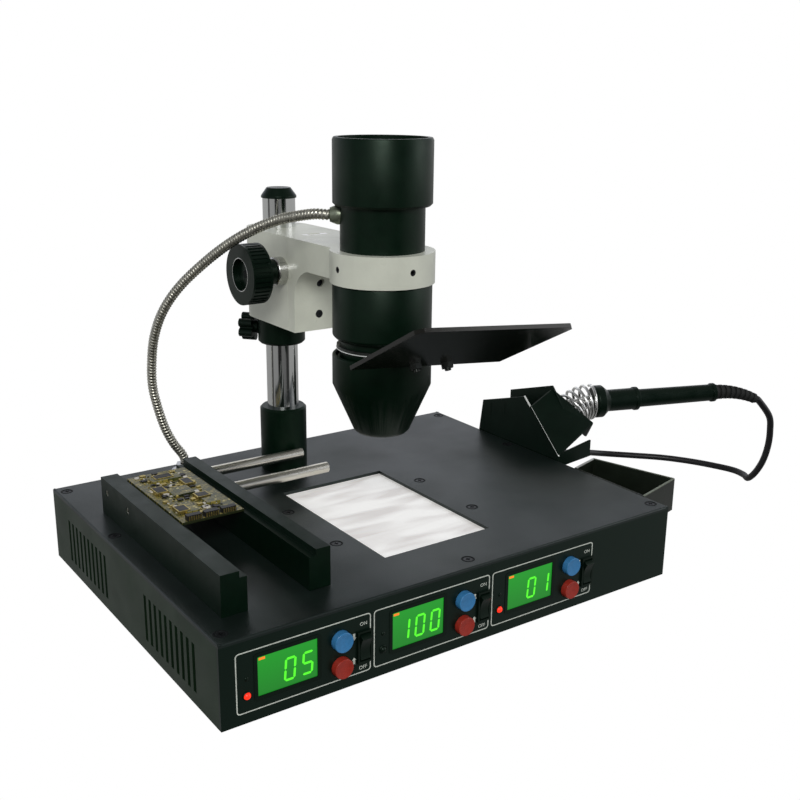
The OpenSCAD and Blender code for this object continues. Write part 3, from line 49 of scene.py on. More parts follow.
# Camera, fitted to the photograph: focal length in pixels of a square picture, place in metres
AZIMUTH, ELEVATION, ROLL = math.radians(-35.2), math.radians(16.54), math.radians(0.62)
PICTURE, FOCAL, SENSOR = 800.0, 1066.06, 36.0
CAMERA = (-0.3758, -0.5839, 0.3325)
back = Vector((math.sin(AZIMUTH) * math.cos(ELEVATION), -math.cos(AZIMUTH) * math.cos(ELEVATION),
    math.sin(ELEVATION)))
right = Vector((math.cos(AZIMUTH), math.sin(AZIMUTH), 0))
up = back.cross(right)
right_r = right * math.cos(ROLL) + up * math.sin(ROLL)
up_r = up * math.cos(ROLL) - right * math.sin(ROLL)
cam_data = bpy.data.cameras.new("camera")
cam_data.sensor_width = SENSOR
cam_data.lens = SENSOR * FOCAL / PICTURE
cam_data.clip_start, cam_data.clip_end = 0.01, 20.0
cam = bpy.data.objects.new("camera", cam_data)
bpy.context.scene.collection.objects.link(cam)
cam.matrix_world = Matrix((
    (right_r.x, up_r.x, back.x, CAMERA[0]),
    (right_r.y, up_r.y, back.y, CAMERA[1]),
    (right_r.z, up_r.z, back.z, CAMERA[2]),
    (0, 0, 0, 1)))
bpy.context.scene.camera = cam
bpy.context.scene.view_settings.view_transform = "Standard"
bpy.context.scene.view_settings.look = "None"


# Meshes
def add_mesh(name, verts, faces, body, material, smooth=True):
    mesh = bpy.data.meshes.new(name)
    mesh.from_pydata([tuple(v) for v in verts], [], faces)
    mesh.polygons.foreach_set("use_smooth", [smooth] * len(mesh.polygons))
    mesh.materials.append(material)
    mesh.update()
    obj = bpy.data.objects.new(name, mesh)
    bpy.context.scene.collection.objects.link(obj)
    if body:
        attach(obj, body)
    return obj


def catmull(points, steps):
    pts = [Vector(p) for p in points]
    out = []
    for i in range(len(pts) - 1):
        a, b = pts[max(i - 1, 0)], pts[i]
        c, d = pts[i + 1], pts[min(i + 2, len(pts) - 1)]
        for j in range(steps):
            s = j / steps
            out.append((2 * b + (c - a) * s + (2 * a - 5 * b + 4 * c - d) * s * s
                + (3 * b - a - 3 * c + d) * s ** 3) / 2)
    out.append(pts[-1])
    return out


class Track:
    """A smooth line with its length, and the point and the two side directions at any distance along it."""

    def __init__(self, pts):
        self.pts = pts
        self.at = [0.0]
        for a, b in zip(pts, pts[1:]):
            self.at.append(self.at[-1] + (b - a).length)
        self.length = self.at[-1]
        tangents = []
        for i in range(len(pts)):
            t = pts[min(i + 1, len(pts) - 1)] - pts[max(i - 1, 0)]
            tangents.append(t.normalized())
        side = tangents[0].orthogonal().normalized()
        self.sides = []
        for t in tangents:
            side = (side - t * side.dot(t)).normalized()
            self.sides.append((side.copy(), t.cross(side).normalized()))
        self.tangents = tangents

    def place(self, s):
        s = min(max(s, 0.0), self.length)
        lo, hi = 0, len(self.at) - 1
        while hi - lo > 1:
            mid = (lo + hi) // 2
            if self.at[mid] <= s:
                lo = mid
            else:
                hi = mid
        span = self.at[hi] - self.at[lo]
        k = (s - self.at[lo]) / span if span > 0 else 0.0
        p = self.pts[lo].lerp(self.pts[hi], k)
        u = self.sides[lo][0].lerp(self.sides[hi][0], k).normalized()
        w = self.sides[lo][1].lerp(self.sides[hi][1], k).normalized()
        return p, u, w


def tube(name, track, radius, sides, rings, body, material, first=0.0, last=None):
    """A round tube along a track. radius is a number or a function of the share of the length."""
    last = track.length if last is None else last
    verts, faces = [], []
    for i in range(rings + 1):
        share = i / rings
        p, u, w = track.place(first + (last - first) * share)
        r = radius(share) if callable(radius) else radius
        for k in range(sides):
            a = 2 * math.pi * k / sides
            verts.append(p + (u * math.cos(a) + w * math.sin(a)) * r)
    for i in range(rings):
        for k in range(sides):
            m = (k + 1) % sides
            faces.append((i * sides + k, i * sides + m, (i + 1) * sides + m, (i + 1) * sides + k))
    faces.append(tuple(reversed(range(sides))))
    faces.append(tuple(range(rings * sides, rings * sides + sides)))
    return add_mesh(name, verts, faces, body, material)


def box_verts(x0, x1, y0, y1, z0, z1):
    v = [(x, y, z) for z in (z0, z1) for y in (y0, y1) for x in (x0, x1)]
    f = [(0, 2, 3, 1), (4, 5, 7, 6), (0, 1, 5, 4), (2, 6, 7, 3), (0, 4, 6, 2), (1, 3, 7, 5)]
    return v, f


class Solids:
    """Gathers simple solids, in millimetres, into one mesh."""

    def __init__(self):
        self.v, self.f = [], []

    def add(self, verts, faces):
        n = len(self.v)
        self.v += [Vector(p) * MM for p in verts]
        self.f += [tuple(i + n for i in f) for f in faces]

    def box(self, x0, x1, y0, y1, z0, z1):
        self.add(*box_verts(x0, x1, y0, y1, z0, z1))

    def slab(self, outline, y0, y1):
        """An outline in (x, z) made solid from y0, the front, to y1."""
        n = len(outline)
        verts = [(x, y0, z) for x, z in outline] + [(x, y1, z) for x, z in outline]
        faces = [tuple(range(n)), tuple(reversed(range(n, 2 * n)))]
        faces += [(i + n, (i + 1) % n + n, (i + 1) % n, i) for i in range(n)]
        self.add(verts, faces)

    def band(self, outer, inner, y0, y1):
        """The solid between two outlines of as many points."""
        n = len(outer)
        verts = [(x, y, z) for y in (y0, y1) for o in (outer, inner) for x, z in o]
        faces = []
        for i in range(n):
            j = (i + 1) % n
            faces += [(i, j, n + j, n + i), (2 * n + j, 2 * n + i, 3 * n + i, 3 * n + j),
                      (2 * n + i, 2 * n + j, j, i), (n + i, n + j, 3 * n + j, 3 * n + i)]
        self.add(verts, faces)

    def turned(self, profile, centre, axis, sides=48):
        """A profile of (distance along the axis, radius) turned about the axis."""
        c, t = Vector(centre), Vector(axis).normalized()
        u = t.orthogonal().normalized()
        w = t.cross(u)
        verts, faces = [], []
        for d, r in profile:
            for k in range(sides):
                a = 2 * math.pi * k / sides
                verts.append(c + t * d + (u * math.cos(a) + w * math.sin(a)) * r)
        for i in range(len(profile) - 1):
            for k in range(sides):
                m = (k + 1) % sides
                faces.append((i * sides + k, i * sides + m, (i + 1) * sides + m, (i + 1) * sides + k))
        self.add(verts, faces)

    def make(self, name, body, material, smooth=False):
        return add_mesh(name, self.v, self.f, body, material, smooth)


def rounded(cx, cz, w, h, r, steps=6):
    out = []
    for sx, sz, a0 in ((1, 1, 0), (-1, 1, 90), (-1, -1, 180), (1, -1, 270)):
        for i in range(steps + 1):
            a = math.radians(a0 + 90 * i / steps)
            out.append((cx + sx * (w / 2 - r) + r * math.cos(a), cz + sz * (h / 2 - r) + r * math.sin(a)))
    return out


# Materials: most have fine relief and an uneven finish of their own
def new_material(name):
    m = bpy.data.materials.new(name)
    m.use_nodes = True
    return m, m.node_tree.nodes, m.node_tree.links, m.node_tree.nodes["Principled BSDF"]


def finish(name, color, rough, metal=0.0, relief=0.0, scale=900.0, uneven=0.0, spot=40.0, wear=0.0,
           stretch=(1, 1, 1), coat=0.0, spec=0.5, sheen=(1, 1, 1), ior=1.45, transmission=0.0):
    m, nodes, links, bsdf = new_material(name)
    bsdf.inputs["Base Color"].default_value = (*color, 1)
    bsdf.inputs["Roughness"].default_value = rough
    bsdf.inputs["Metallic"].default_value = metal
    bsdf.inputs["IOR"].default_value = ior
    bsdf.inputs["Coat Weight"].default_value = coat
    bsdf.inputs["Coat Roughness"].default_value = 0.12
    bsdf.inputs["Transmission Weight"].default_value = transmission
    bsdf.inputs["Specular IOR Level"].default_value = spec
    bsdf.inputs["Specular Tint"].default_value = (*sheen, 1)
    coord = nodes.new("ShaderNodeTexCoord")
    mapping = nodes.new("ShaderNodeMapping")
    mapping.inputs["Scale"].default_value = stretch
    links.new(coord.outputs["Object"], mapping.inputs["Vector"])
    if relief:
        fine = nodes.new("ShaderNodeTexNoise")
        fine.inputs["Scale"].default_value = scale
        fine.inputs["Detail"].default_value = 3
        links.new(mapping.outputs["Vector"], fine.inputs["Vector"])
        bump = nodes.new("ShaderNodeBump")
        bump.inputs["Strength"].default_value = relief
        bump.inputs["Distance"].default_value = 0.0002
        links.new(fine.outputs["Fac"], bump.inputs["Height"])
        links.new(bump.outputs["Normal"], bsdf.inputs["Normal"])
    if uneven:
        wide = nodes.new("ShaderNodeTexNoise")
        wide.inputs["Scale"].default_value = spot
        wide.inputs["Detail"].default_value = 5
        links.new(mapping.outputs["Vector"], wide.inputs["Vector"])
        ramp = nodes.new("ShaderNodeMapRange")
        ramp.inputs["From Min"].default_value = 0.3
        ramp.inputs["From Max"].default_value = 0.7
        ramp.inputs["To Min"].default_value = max(rough - uneven, 0.02)
        ramp.inputs["To Max"].default_value = min(rough + uneven, 1.0)
        links.new(wide.outputs["Fac"], ramp.inputs["Value"])
        links.new(ramp.outputs["Result"], bsdf.inputs["Roughness"])
    if wear:
        patch = nodes.new("ShaderNodeTexNoise")
        patch.inputs["Scale"].default_value = spot * 2.3
        patch.inputs["Detail"].default_value = 6
        links.new(mapping.outputs["Vector"], patch.inputs["Vector"])
        colors = nodes.new("ShaderNodeValToRGB")
        colors.color_ramp.elements[0].position = 0.35
        colors.color_ramp.elements[1].position = 0.68
        colors.color_ramp.elements[0].color = (*[c * (1 - wear) for c in color], 1)
        colors.color_ramp.elements[1].color = (*[min(c * (1 + wear), 1) for c in color], 1)
        links.new(patch.outputs["Fac"], colors.inputs["Fac"])
        links.new(colors.outputs["Color"], bsdf.inputs["Base Color"])
    return m


def glow(name, color, strength, second=None, span=None):
    """A lit surface, with a soft change of colour along Z where a second colour is given."""
    m, nodes, links, bsdf = new_material(name)
    bsdf.inputs["Base Color"].default_value = (*[c * 0.3 for c in color], 1)
    bsdf.inputs["Roughness"].default_value = 0.3
    bsdf.inputs["Emission Color"].default_value = (*color, 1)
    bsdf.inputs["Emission Strength"].default_value = strength
    if second:
        coord = nodes.new("ShaderNodeTexCoord")
        split = nodes.new("ShaderNodeSeparateXYZ")
        ramp = nodes.new("ShaderNodeMapRange")
        ramp.inputs["From Min"].default_value, ramp.inputs["From Max"].default_value = span
        mix = nodes.new("ShaderNodeMix")
        mix.data_type = "RGBA"
        mix.inputs[6].default_value = (*color, 1)
        mix.inputs[7].default_value = (*second, 1)
        links.new(coord.outputs["Object"], split.inputs["Vector"])
        links.new(split.outputs["Z"], ramp.inputs["Value"])
        links.new(ramp.outputs["Result"], mix.inputs[0])
        links.new(mix.outputs[2], bsdf.inputs["Emission Color"])
    return m


def heater_glass_with_painted_glow():
    """White ceramic glass with faint soft bands of the tubes beneath, and a weak glow that is painted light.
    """
    m, nodes, links, bsdf = new_material("heater_glass_with_painted_glow")
    bsdf.inputs["Roughness"].default_value = 0.3
    # The weak emission brightens the plate: painted light, the plate does not shine by itself.
    bsdf.inputs["Emission Strength"].default_value = 0.30
    coord = nodes.new("ShaderNodeTexCoord")
    mapping = nodes.new("ShaderNodeMapping")
    mapping.inputs["Rotation"].default_value = (0, 0, math.radians(28))
    mapping.inputs["Scale"].default_value = (16, 70, 1)
    soft = nodes.new("ShaderNodeTexNoise")
    soft.inputs["Scale"].default_value = 1.0
    soft.inputs["Detail"].default_value = 1.5
    soft.inputs["Distortion"].default_value = 0.6
    colors = nodes.new("ShaderNodeValToRGB")
    colors.color_ramp.elements[0].color = (0.71, 0.68, 0.655, 1)
    colors.color_ramp.elements[1].color = (0.94, 0.93, 0.90, 1)
    colors.color_ramp.elements[0].position, colors.color_ramp.elements[1].position = 0.36, 0.56
    links.new(coord.outputs["Object"], mapping.inputs["Vector"])
    links.new(mapping.outputs["Vector"], soft.inputs["Vector"])
    links.new(soft.outputs["Fac"], colors.inputs["Fac"])
    links.new(colors.outputs["Color"], bsdf.inputs["Base Color"])
    links.new(colors.outputs["Color"], bsdf.inputs["Emission Color"])
    return m


def circuit():
    """Solder mask with bare copper lands and rows of pads."""
    m, nodes, links, bsdf = new_material("circuit")
    bsdf.inputs["Roughness"].default_value = 0.35
    coord = nodes.new("ShaderNodeTexCoord")
    cells = nodes.new("ShaderNodeTexBrick")
    cells.inputs["Scale"].default_value = 130.0
    cells.inputs["Mortar Size"].default_value = 0.03
    cells.inputs["Color1"].default_value = (0.070, 0.078, 0.018, 1)
    cells.inputs["Color2"].default_value = (0.33, 0.27, 0.06, 1)
    cells.inputs["Mortar"].default_value = (0.020, 0.026, 0.008, 1)
    patch = nodes.new("ShaderNodeTexVoronoi")
    patch.inputs["Scale"].default_value = 210.0
    dots = nodes.new("ShaderNodeValToRGB")
    dots.color_ramp.elements[0].position, dots.color_ramp.elements[1].position = 0.18, 0.22
    mix = nodes.new("ShaderNodeMix")
    mix.data_type = "RGBA"
    mix.inputs[6].default_value = (0.60, 0.52, 0.18, 1)
    links.new(coord.outputs["Object"], cells.inputs["Vector"])
    links.new(coord.outputs["Object"], patch.inputs["Vector"])
    links.new(patch.outputs["Distance"], dots.inputs["Fac"])
    links.new(dots.outputs["Color"], mix.inputs[0])
    links.new(cells.outputs["Color"], mix.inputs[7])
    links.new(mix.outputs[2], bsdf.inputs["Base Color"])
    return m


M = {
    "case": finish("case_paint", (0.007, 0.018, 0.008), 0.42, spec=0.42, sheen=(0.72, 1.0, 0.74),
        relief=0.35, scale=1500, uneven=0.06, spot=30, wear=0.15),
    "cover": finish("cover_paint", (0.006, 0.011, 0.009), 0.38, sheen=(0.90, 1.0, 1.0), relief=0.45,
        scale=1700, uneven=0.07, spot=18, wear=0.18),
    "panel": finish("panel_film", (0.003, 0.009, 0.006), 0.34, spec=0.35, sheen=(0.75, 1.0, 0.85),
        relief=0.15, scale=2200, uneven=0.04, spot=60),
    "rubber": finish("rubber", (0.010, 0.011, 0.010), 0.75, relief=0.5, scale=1100, wear=0.2),
    "screw": finish("black_screw", (0.020, 0.022, 0.024), 0.38, metal=0.6, relief=0.2, scale=1800,
        uneven=0.1, spot=300),
    "heater": heater_glass_with_painted_glow(),
    "sheet": finish("bare_sheet", (0.55, 0.56, 0.57), 0.34, metal=1.0, relief=0.2, scale=900,
        stretch=(1, 12, 1), uneven=0.1),
    "ceramic": finish("ceramic", (0.75, 0.72, 0.66), 0.6, relief=0.4, scale=700, wear=0.08),
    "core": finish("varnished_core", (0.08, 0.07, 0.06), 0.5, relief=0.5, scale=700, wear=0.3),
    "green_board": finish("green_board", (0.02, 0.11, 0.05), 0.35, relief=0.2, scale=900, wear=0.25,
        spot=120),
    "window": finish("display_window", (0.008, 0.020, 0.012), 0.16, relief=0.05, scale=600, uneven=0.03),
    "black": finish("black_plastic", (0.002, 0.007, 0.004), 0.34, spec=0.3, sheen=(0.78, 1.0, 0.85),
        relief=0.2, scale=1300, uneven=0.08, spot=90),
    "blue": finish("blue_plastic", (0.045, 0.215, 0.46), 0.3, relief=0.12, scale=900, uneven=0.05,
        spot=140, wear=0.08),
    "red": finish("red_plastic", (0.36, 0.030, 0.018), 0.3, relief=0.12, scale=900, uneven=0.05,
        spot=140, wear=0.08),
    "plated": finish("plated_metal", (0.60, 0.60, 0.58), 0.24, metal=1.0, relief=0.1, scale=900,
        uneven=0.08, spot=200),
    "chrome": finish("chrome_tube", (0.66, 0.67, 0.66), 0.09, metal=1.0, relief=0.03, scale=500,
        uneven=0.03, spot=60),
    "anodised": finish("black_anodised", (0.001, 0.007, 0.003), 0.38, spec=0.24,
        sheen=(0.74, 1.0, 0.80), relief=0.22, scale=1500, uneven=0.06, spot=70, wear=0.15),
    "cream": finish("cream_enamel", (0.70, 0.72, 0.61), 0.34, relief=0.25, scale=650, uneven=0.08,
        spot=35, wear=0.04, coat=0.2),
    "steel": finish("ground_steel", (0.80, 0.80, 0.78), 0.2, metal=1.0, relief=0.25, scale=1200,
        stretch=(0.1, 1, 1), uneven=0.08, spot=120),
    "rod": finish("dull_rod", (0.64, 0.62, 0.55), 0.27, metal=1.0, relief=0.25, scale=1200,
        stretch=(0.1, 1, 1), uneven=0.08, spot=120),
    # Dark washer finish; on the pinion shaft its dark is painted shade in the knob recess
    "washer_and_shade": finish("black_washer_and_painted_shade", (0.006, 0.008, 0.008), 0.62, spec=0.2, relief=0.2, scale=1500,
        uneven=0.08, spot=200),
    "stand": finish("stand_paint", (0.002, 0.007, 0.004), 0.4, spec=0.22, sheen=(0.78, 1.0, 0.85),
        relief=0.3, scale=1500, uneven=0.05, spot=40, wear=0.15),
    "tray": finish("tray_paint", (0.010, 0.014, 0.009), 0.36, spec=0.4, relief=0.35, scale=1400,
        uneven=0.07, spot=30, wear=0.2),
    # Also worn by the tray rim strips, where its lighter colour is a painted highlight
    "fitting": finish("dull_fitting_and_rim_highlight", (0.24, 0.27, 0.20), 0.36, metal=0.8, relief=0.2, scale=1200,
        uneven=0.08, spot=160, wear=0.2),
    "clip": finish("dark_clip", (0.05, 0.055, 0.05), 0.3, metal=0.9, relief=0.15, scale=900,
        uneven=0.08, spot=200, wear=0.2),
    "hose": finish("hose_steel", (0.50, 0.49, 0.42), 0.34, metal=1.0, relief=0.3, scale=1300,
        uneven=0.1, spot=220, wear=0.25),
    "tint": finish("tinted_acrylic", (0.006, 0.006, 0.004), 0.14, spec=0.4, relief=0.03, scale=300,
        uneven=0.03, spot=25),
    "lens": finish("lens_glass", (0.92, 0.95, 0.95), 0.04, relief=0.02, scale=300, transmission=1.0),
    "mirror": finish("reflector_mirror", (0.85, 0.85, 0.84), 0.08, metal=1.0, relief=0.05, scale=500,
        uneven=0.03),
    "circuit": circuit(),
    "cord": finish("cord_jacket", (0.008, 0.008, 0.009), 0.42, relief=0.3, scale=800, uneven=0.08, spot=90),
    # Light strips on edges and the clip ring line: painted highlights
    "edge": finish("painted_edge_highlight", (0.80, 0.82, 0.78), 0.42, metal=0.4, relief=0.2, scale=900, uneven=0.1),
    "ink": finish("white_ink", (0.66, 0.70, 0.62), 0.5, relief=0.2, scale=1500, wear=0.15, spot=300),
    "chip": finish("chip_body", (0.010, 0.010, 0.010), 0.45, relief=0.3, scale=1400, wear=0.3, spot=300),
    "gold": finish("gold_lands", (0.50, 0.40, 0.13), 0.38, metal=0.9, relief=0.3, scale=900, wear=0.4,
        spot=300),
    "lit_green": glow("display_green", (0.012, 0.19, 0.018), 1.0, second=(0.014, 0.30, 0.022),
        span=(0.018, 0.044)),
    "digit": glow("digit_green", (0.10, 0.95, 0.03), 1.0),
    "lit_red": glow("lamp_red", (0.95, 0.03, 0.01), 1.2),
    "lit_orange": glow("mark_orange", (0.95, 0.22, 0.02), 1.0),
}

PAINT = {
    "case": "chassis", "tray": "tool_tray", "stand": "iron_holder", "cover": "top_cover",
        "panel": "front_panel",
    "rubber": "rubber_feet iron_boot", "screw": "cover_screws head_screws", "heater": "heater_plate",
        "sheet": "heater_tray",
    "ceramic": "heater_tubes", "core": "transformer", "green_board": "control_board",
        "window": "display_windows",
    "black": "rocker_frames mains_inlet column_cap collar_knob mount_lock_knob focus_knobs iron_handle "
        "rocker_1 rocker_2 rocker_3",
    "plated": "hose_gland iron_socket iron_plug pinion_bushes",
    # The pinion shaft takes the dark washer finish so its end in the knob recess shows dark: painted shade
    "washer_and_shade": "pinion_shaft",
    "chrome": "column_tube", "anodised": "column_socket left_bar sliding_bar height_collar "
        "upper_barrel lamp_cap lower_barrel nozzle_cup", "fitting": "hose_fitting", "clip": "clip_ring",
    "cream": "focus_mount ring_carriage", "steel": "holder_spring rack_slide iron_barrel",
        "rod": "guide_rods",
    "hose": "armoured_hose", "tint": "glare_shield", "lens": "lamp_bulb focus_lens",
        "mirror": "lamp_reflector",
    "circuit": "sample_board", "cord": "iron_cord", "blue": "up_button_1 up_button_2 up_button_3",
    "red": "down_button_1 down_button_2 down_button_3",
}
for slot_name, names in PAINT.items():
    for n in names.split():
        NODES[n].data.materials.clear()
        NODES[n].data.materials.append(M[slot_name])

# Softened edges of the CAD pieces, in millimetres
EDGES = {
    1.6: "focus_mount ring_carriage",
    0.8: "lamp_cap lower_barrel upper_barrel column_socket height_collar",
    0.5: "left_bar sliding_bar chassis front_panel iron_handle collar_knob mount_lock_knob nozzle_cup "
        "up_button_1 up_button_2 up_button_3 down_button_1 down_button_2 down_button_3",
    0.3: "top_cover tool_tray iron_holder glare_shield rocker_frames rocker_1 rocker_2 rocker_3 "
        "guide_rods pinion_bushes mains_inlet focus_knobs iron_boot hose_gland clip_ring rubber_feet",
    0.15: "cover_screws head_screws sample_board iron_socket iron_plug hose_fitting rack_slide "
        "pinion_shaft column_cap",
}
for width, names in EDGES.items():
    for n in names.split():
        o = NODES[n]
        if "custom_normal" in o.data.attributes:
            o.data.attributes.remove(o.data.attributes["custom_normal"])
        o.data.polygons.foreach_set("use_smooth", [True] * len(o.data.polygons))
        weld = o.modifiers.new("weld", "WELD")
        weld.merge_threshold = 2e-6
        flat = o.modifiers.new("flat", "DECIMATE")
        flat.decimate_type, flat.angle_limit = "DISSOLVE", math.radians(0.8)
        bevel = o.modifiers.new("bevel", "BEVEL")
        bevel.width = width * MM
        bevel.segments = 3 if width > 0.4 else 2
        bevel.limit_method = "ANGLE"
        bevel.angle_limit = math.radians(32)
        bevel.harden_normals = True

# Armoured hose: a helical steel strip along the route, in three lengths
HOSE_D = 6.8
LAMP_X, LAMP_Y = -10, -45
FITTING_YAW, FITTING_Z, FITTING_REACH, LEAD = math.radians(146), 256, 32, 3
FITTING_DIR = Vector((math.cos(FITTING_YAW), math.sin(FITTING_YAW), 0))
FITTING_TIP = tuple(Vector((LAMP_X, LAMP_Y, FITTING_Z)) + FITTING_DIR * FITTING_REACH)
hose_route = [(-78, 113, 62.2), (-78, 113, 65.2), (-80, 113, 70), (-86, 113, 79), (-92, 113, 92),
    (-97, 113, 110),
              (-100, 112, 126), (-101, 108, 144), (-101, 101, 163), (-98, 91, 182), (-91, 78, 200),
              (-81, 61, 217), (-72, 43, 231), (-63, 25, 242), (-54, 7, 250), (-48, -9, 254), (-43, -20, 256),
              tuple(Vector(FITTING_TIP) + FITTING_DIR * LEAD), FITTING_TIP]
hose = Track(catmull([Vector(p) * MM for p in hose_route], 12))
PITCH, PER, SIDES = 2.3 * MM, 6, 20
PROFILE = (0.0, 0.10, 0.16, 0.16, 0.06, 0.0)


def hose_piece(name, first, last):
    n = int(round((last - first) / PITCH)) * PER
    step = (last - first) / n
    verts, faces = [], []
    for i in range(n + 1):
        for k in range(SIDES):
            a = 2 * math.pi * k / SIDES
            turn = (i + PER * k / SIDES) % PER
            lo = int(turn)
            dip = PROFILE[lo] + (PROFILE[(lo + 1) % PER] - PROFILE[lo]) * (turn - lo)
            p, u, w = hose.place(first + step * i)
            verts.append(p + (u * math.cos(a) + w * math.sin(a)) * (HOSE_D / 2 * (1 - dip)) * MM)
    for i in range(n):
        for k in range(SIDES):
            m = (k + 1) % SIDES
            faces.append((i * SIDES + k, i * SIDES + m, (i + 1) * SIDES + m, (i + 1) * SIDES + k))
    return add_mesh(name, verts, faces, None, M["hose"])


def hose_distance(z):
    return next(s for p, s in zip(hose.pts, hose.at) if p.z >= z * MM)


cut_a = round(hose_distance(122) / PITCH) * PITCH
cut_b = round(hose_distance(230) / PITCH) * PITCH
hose_low = hose_piece("hose_low", 0.0, cut_a)
hose_mid = hose_piece("hose_mid", cut_a, cut_b)
hose_top = hose_piece("hose_top", cut_b, hose.length)
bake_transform(hose_low)
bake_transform(hose_mid)
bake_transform(hose_top)
for piece in (hose_low, hose_mid, hose_top):
    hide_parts("armoured_hose")

# Iron cord from its plug to the boot of the handle
IRON_YAW, IRON_PITCH, SEAT_YAW, SEAT_PITCH = -21.6, 1, -1.1, 35
BOOT_STEPS, BOOT_STEP, BOOT_DROOP, HANDLE_L = 9, 4.6, 3.2, 107


def heading(yaw, pitch):
    """The direction at a turn about Z and a rise, both in degrees."""
    return Vector((math.cos(math.radians(pitch)) * math.cos(math.radians(yaw)),
                   math.cos(math.radians(pitch)) * math.sin(math.radians(yaw)),
                   math.sin(math.radians(pitch))))


iron_dir, seat_dir = heading(IRON_YAW, IRON_PITCH), heading(SEAT_YAW, SEAT_PITCH)
bend_dir = (seat_dir - iron_dir * iron_dir.dot(seat_dir)).normalized()
spring_bend = math.acos(iron_dir.dot(seat_dir))
WIRE, COIL, BEND, TURNS, STEPS = 2.2, 29.0, 25.0, 4.5, 48
SPRING_SEAT, SEAT_GAP = (204.7, 3.7, 82.1), 0.9
spring_start = Vector(SPRING_SEAT) + seat_dir * (WIRE / 2 + SEAT_GAP)


def coil_dir(t):
    return iron_dir * math.cos(t) + bend_dir * math.sin(t)


def coil_in(t):
    return iron_dir * math.sin(t) - bend_dir * math.cos(t)


def coil_axis(t):
    return spring_start + (coil_in(spring_bend) - coil_in(t)) * BEND


iron_start = coil_axis(0) + iron_dir * (WIRE * 1.5 + 0.3)
boot_end = iron_start + iron_dir * HANDLE_L
for i in range(BOOT_STEPS):
    boot_end = boot_end + heading(IRON_YAW, IRON_PITCH - BOOT_DROOP * i) * BOOT_STEP
boot_dir = heading(IRON_YAW, IRON_PITCH - BOOT_DROOP * (BOOT_STEPS - 1))
cord_route = [(205, 30, 33), (208, 30, 33), (214, 32, 33), (228, 39, 30), (250, 53, 24), (274, 67, 16),
    (299, 74, 9),
              (322, 70, 4.4), (343, 55, 3), (361, 36, 3), (375, 14, 3), (384, -7, 3), (388, -22, 3),
              (386, -34, 3), (380, -43, 4), (378, -51, 12), (380, -56, 24), (382, -58, 38), (381, -59, 52),
              (376, -60, 66), boot_end + boot_dir * LEAD, boot_end]
cord_track = Track(catmull([Vector(p) * MM for p in cord_route], 10))
cord = tube("cord_of_iron", cord_track, 2.75 * MM, 14, 260, None, M["cord"])
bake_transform(cord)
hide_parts("iron_cord")

# Holder spring: a round wire in turns that start square to the seat and bend over to the iron
coil_pts = []
for i in range(int(TURNS * STEPS) + 1):
    share = i / (TURNS * STEPS)
    t, a = spring_bend * (1 - share), 2 * math.pi * TURNS * share
    side = iron_dir.cross(bend_dir)
    coil_pts.append((coil_axis(t) + coil_dir(t) * (WIRE * share)
                     + (coil_in(t) * math.cos(a) + side * math.sin(a)) * ((COIL - WIRE) / 2)) * MM)
spring = tube("spring_coil", Track(coil_pts), WIRE / 2 * MM, 10, int(TURNS * STEPS), "base", M["steel"])
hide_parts("holder_spring")

# Front panel: unit frames, lit displays with plain digits, lamps and switch marks
PANEL_Y, UNIT_X, PITCH_X, FOOT = -132.4, -118.3, 87.0, 4.0
SEGMENTS = {"0": "abcdef", "1": "bc", "5": "acdfg"}


def digit(solids, char, cx, cz, w, h, t, y0, y1):
    slant = 0.08
    hw, hh, g = w / 2, h / 2, t * 0.12
    spots = {"a": (0, hh, "h"), "g": (0, 0, "h"), "d": (0, -hh, "h"), "f": (-hw, hh / 2, "v"),
             "b": (hw, hh / 2, "v"), "e": (-hw, -hh / 2, "v"), "c": (hw, -hh / 2, "v")}
    for s in SEGMENTS[char]:
        x, z, way = spots[s]
        half = (w if way == "h" else h / 2) / 2 - g
        k = t / 2
        if way == "h":
            pts = [(x - half, z), (x - half + k, z - k), (x + half - k, z - k), (x + half, z),
                (x + half - k, z + k), (x - half + k, z + k)]
        else:
            pts = [(x, z - half), (x + k, z - half + k), (x + k, z + half - k), (x, z + half),
                (x - k, z + half - k), (x - k, z - half + k)]
        solids.slab([(cx + px + slant * pz, cz + pz) for px, pz in pts], y0, y1)


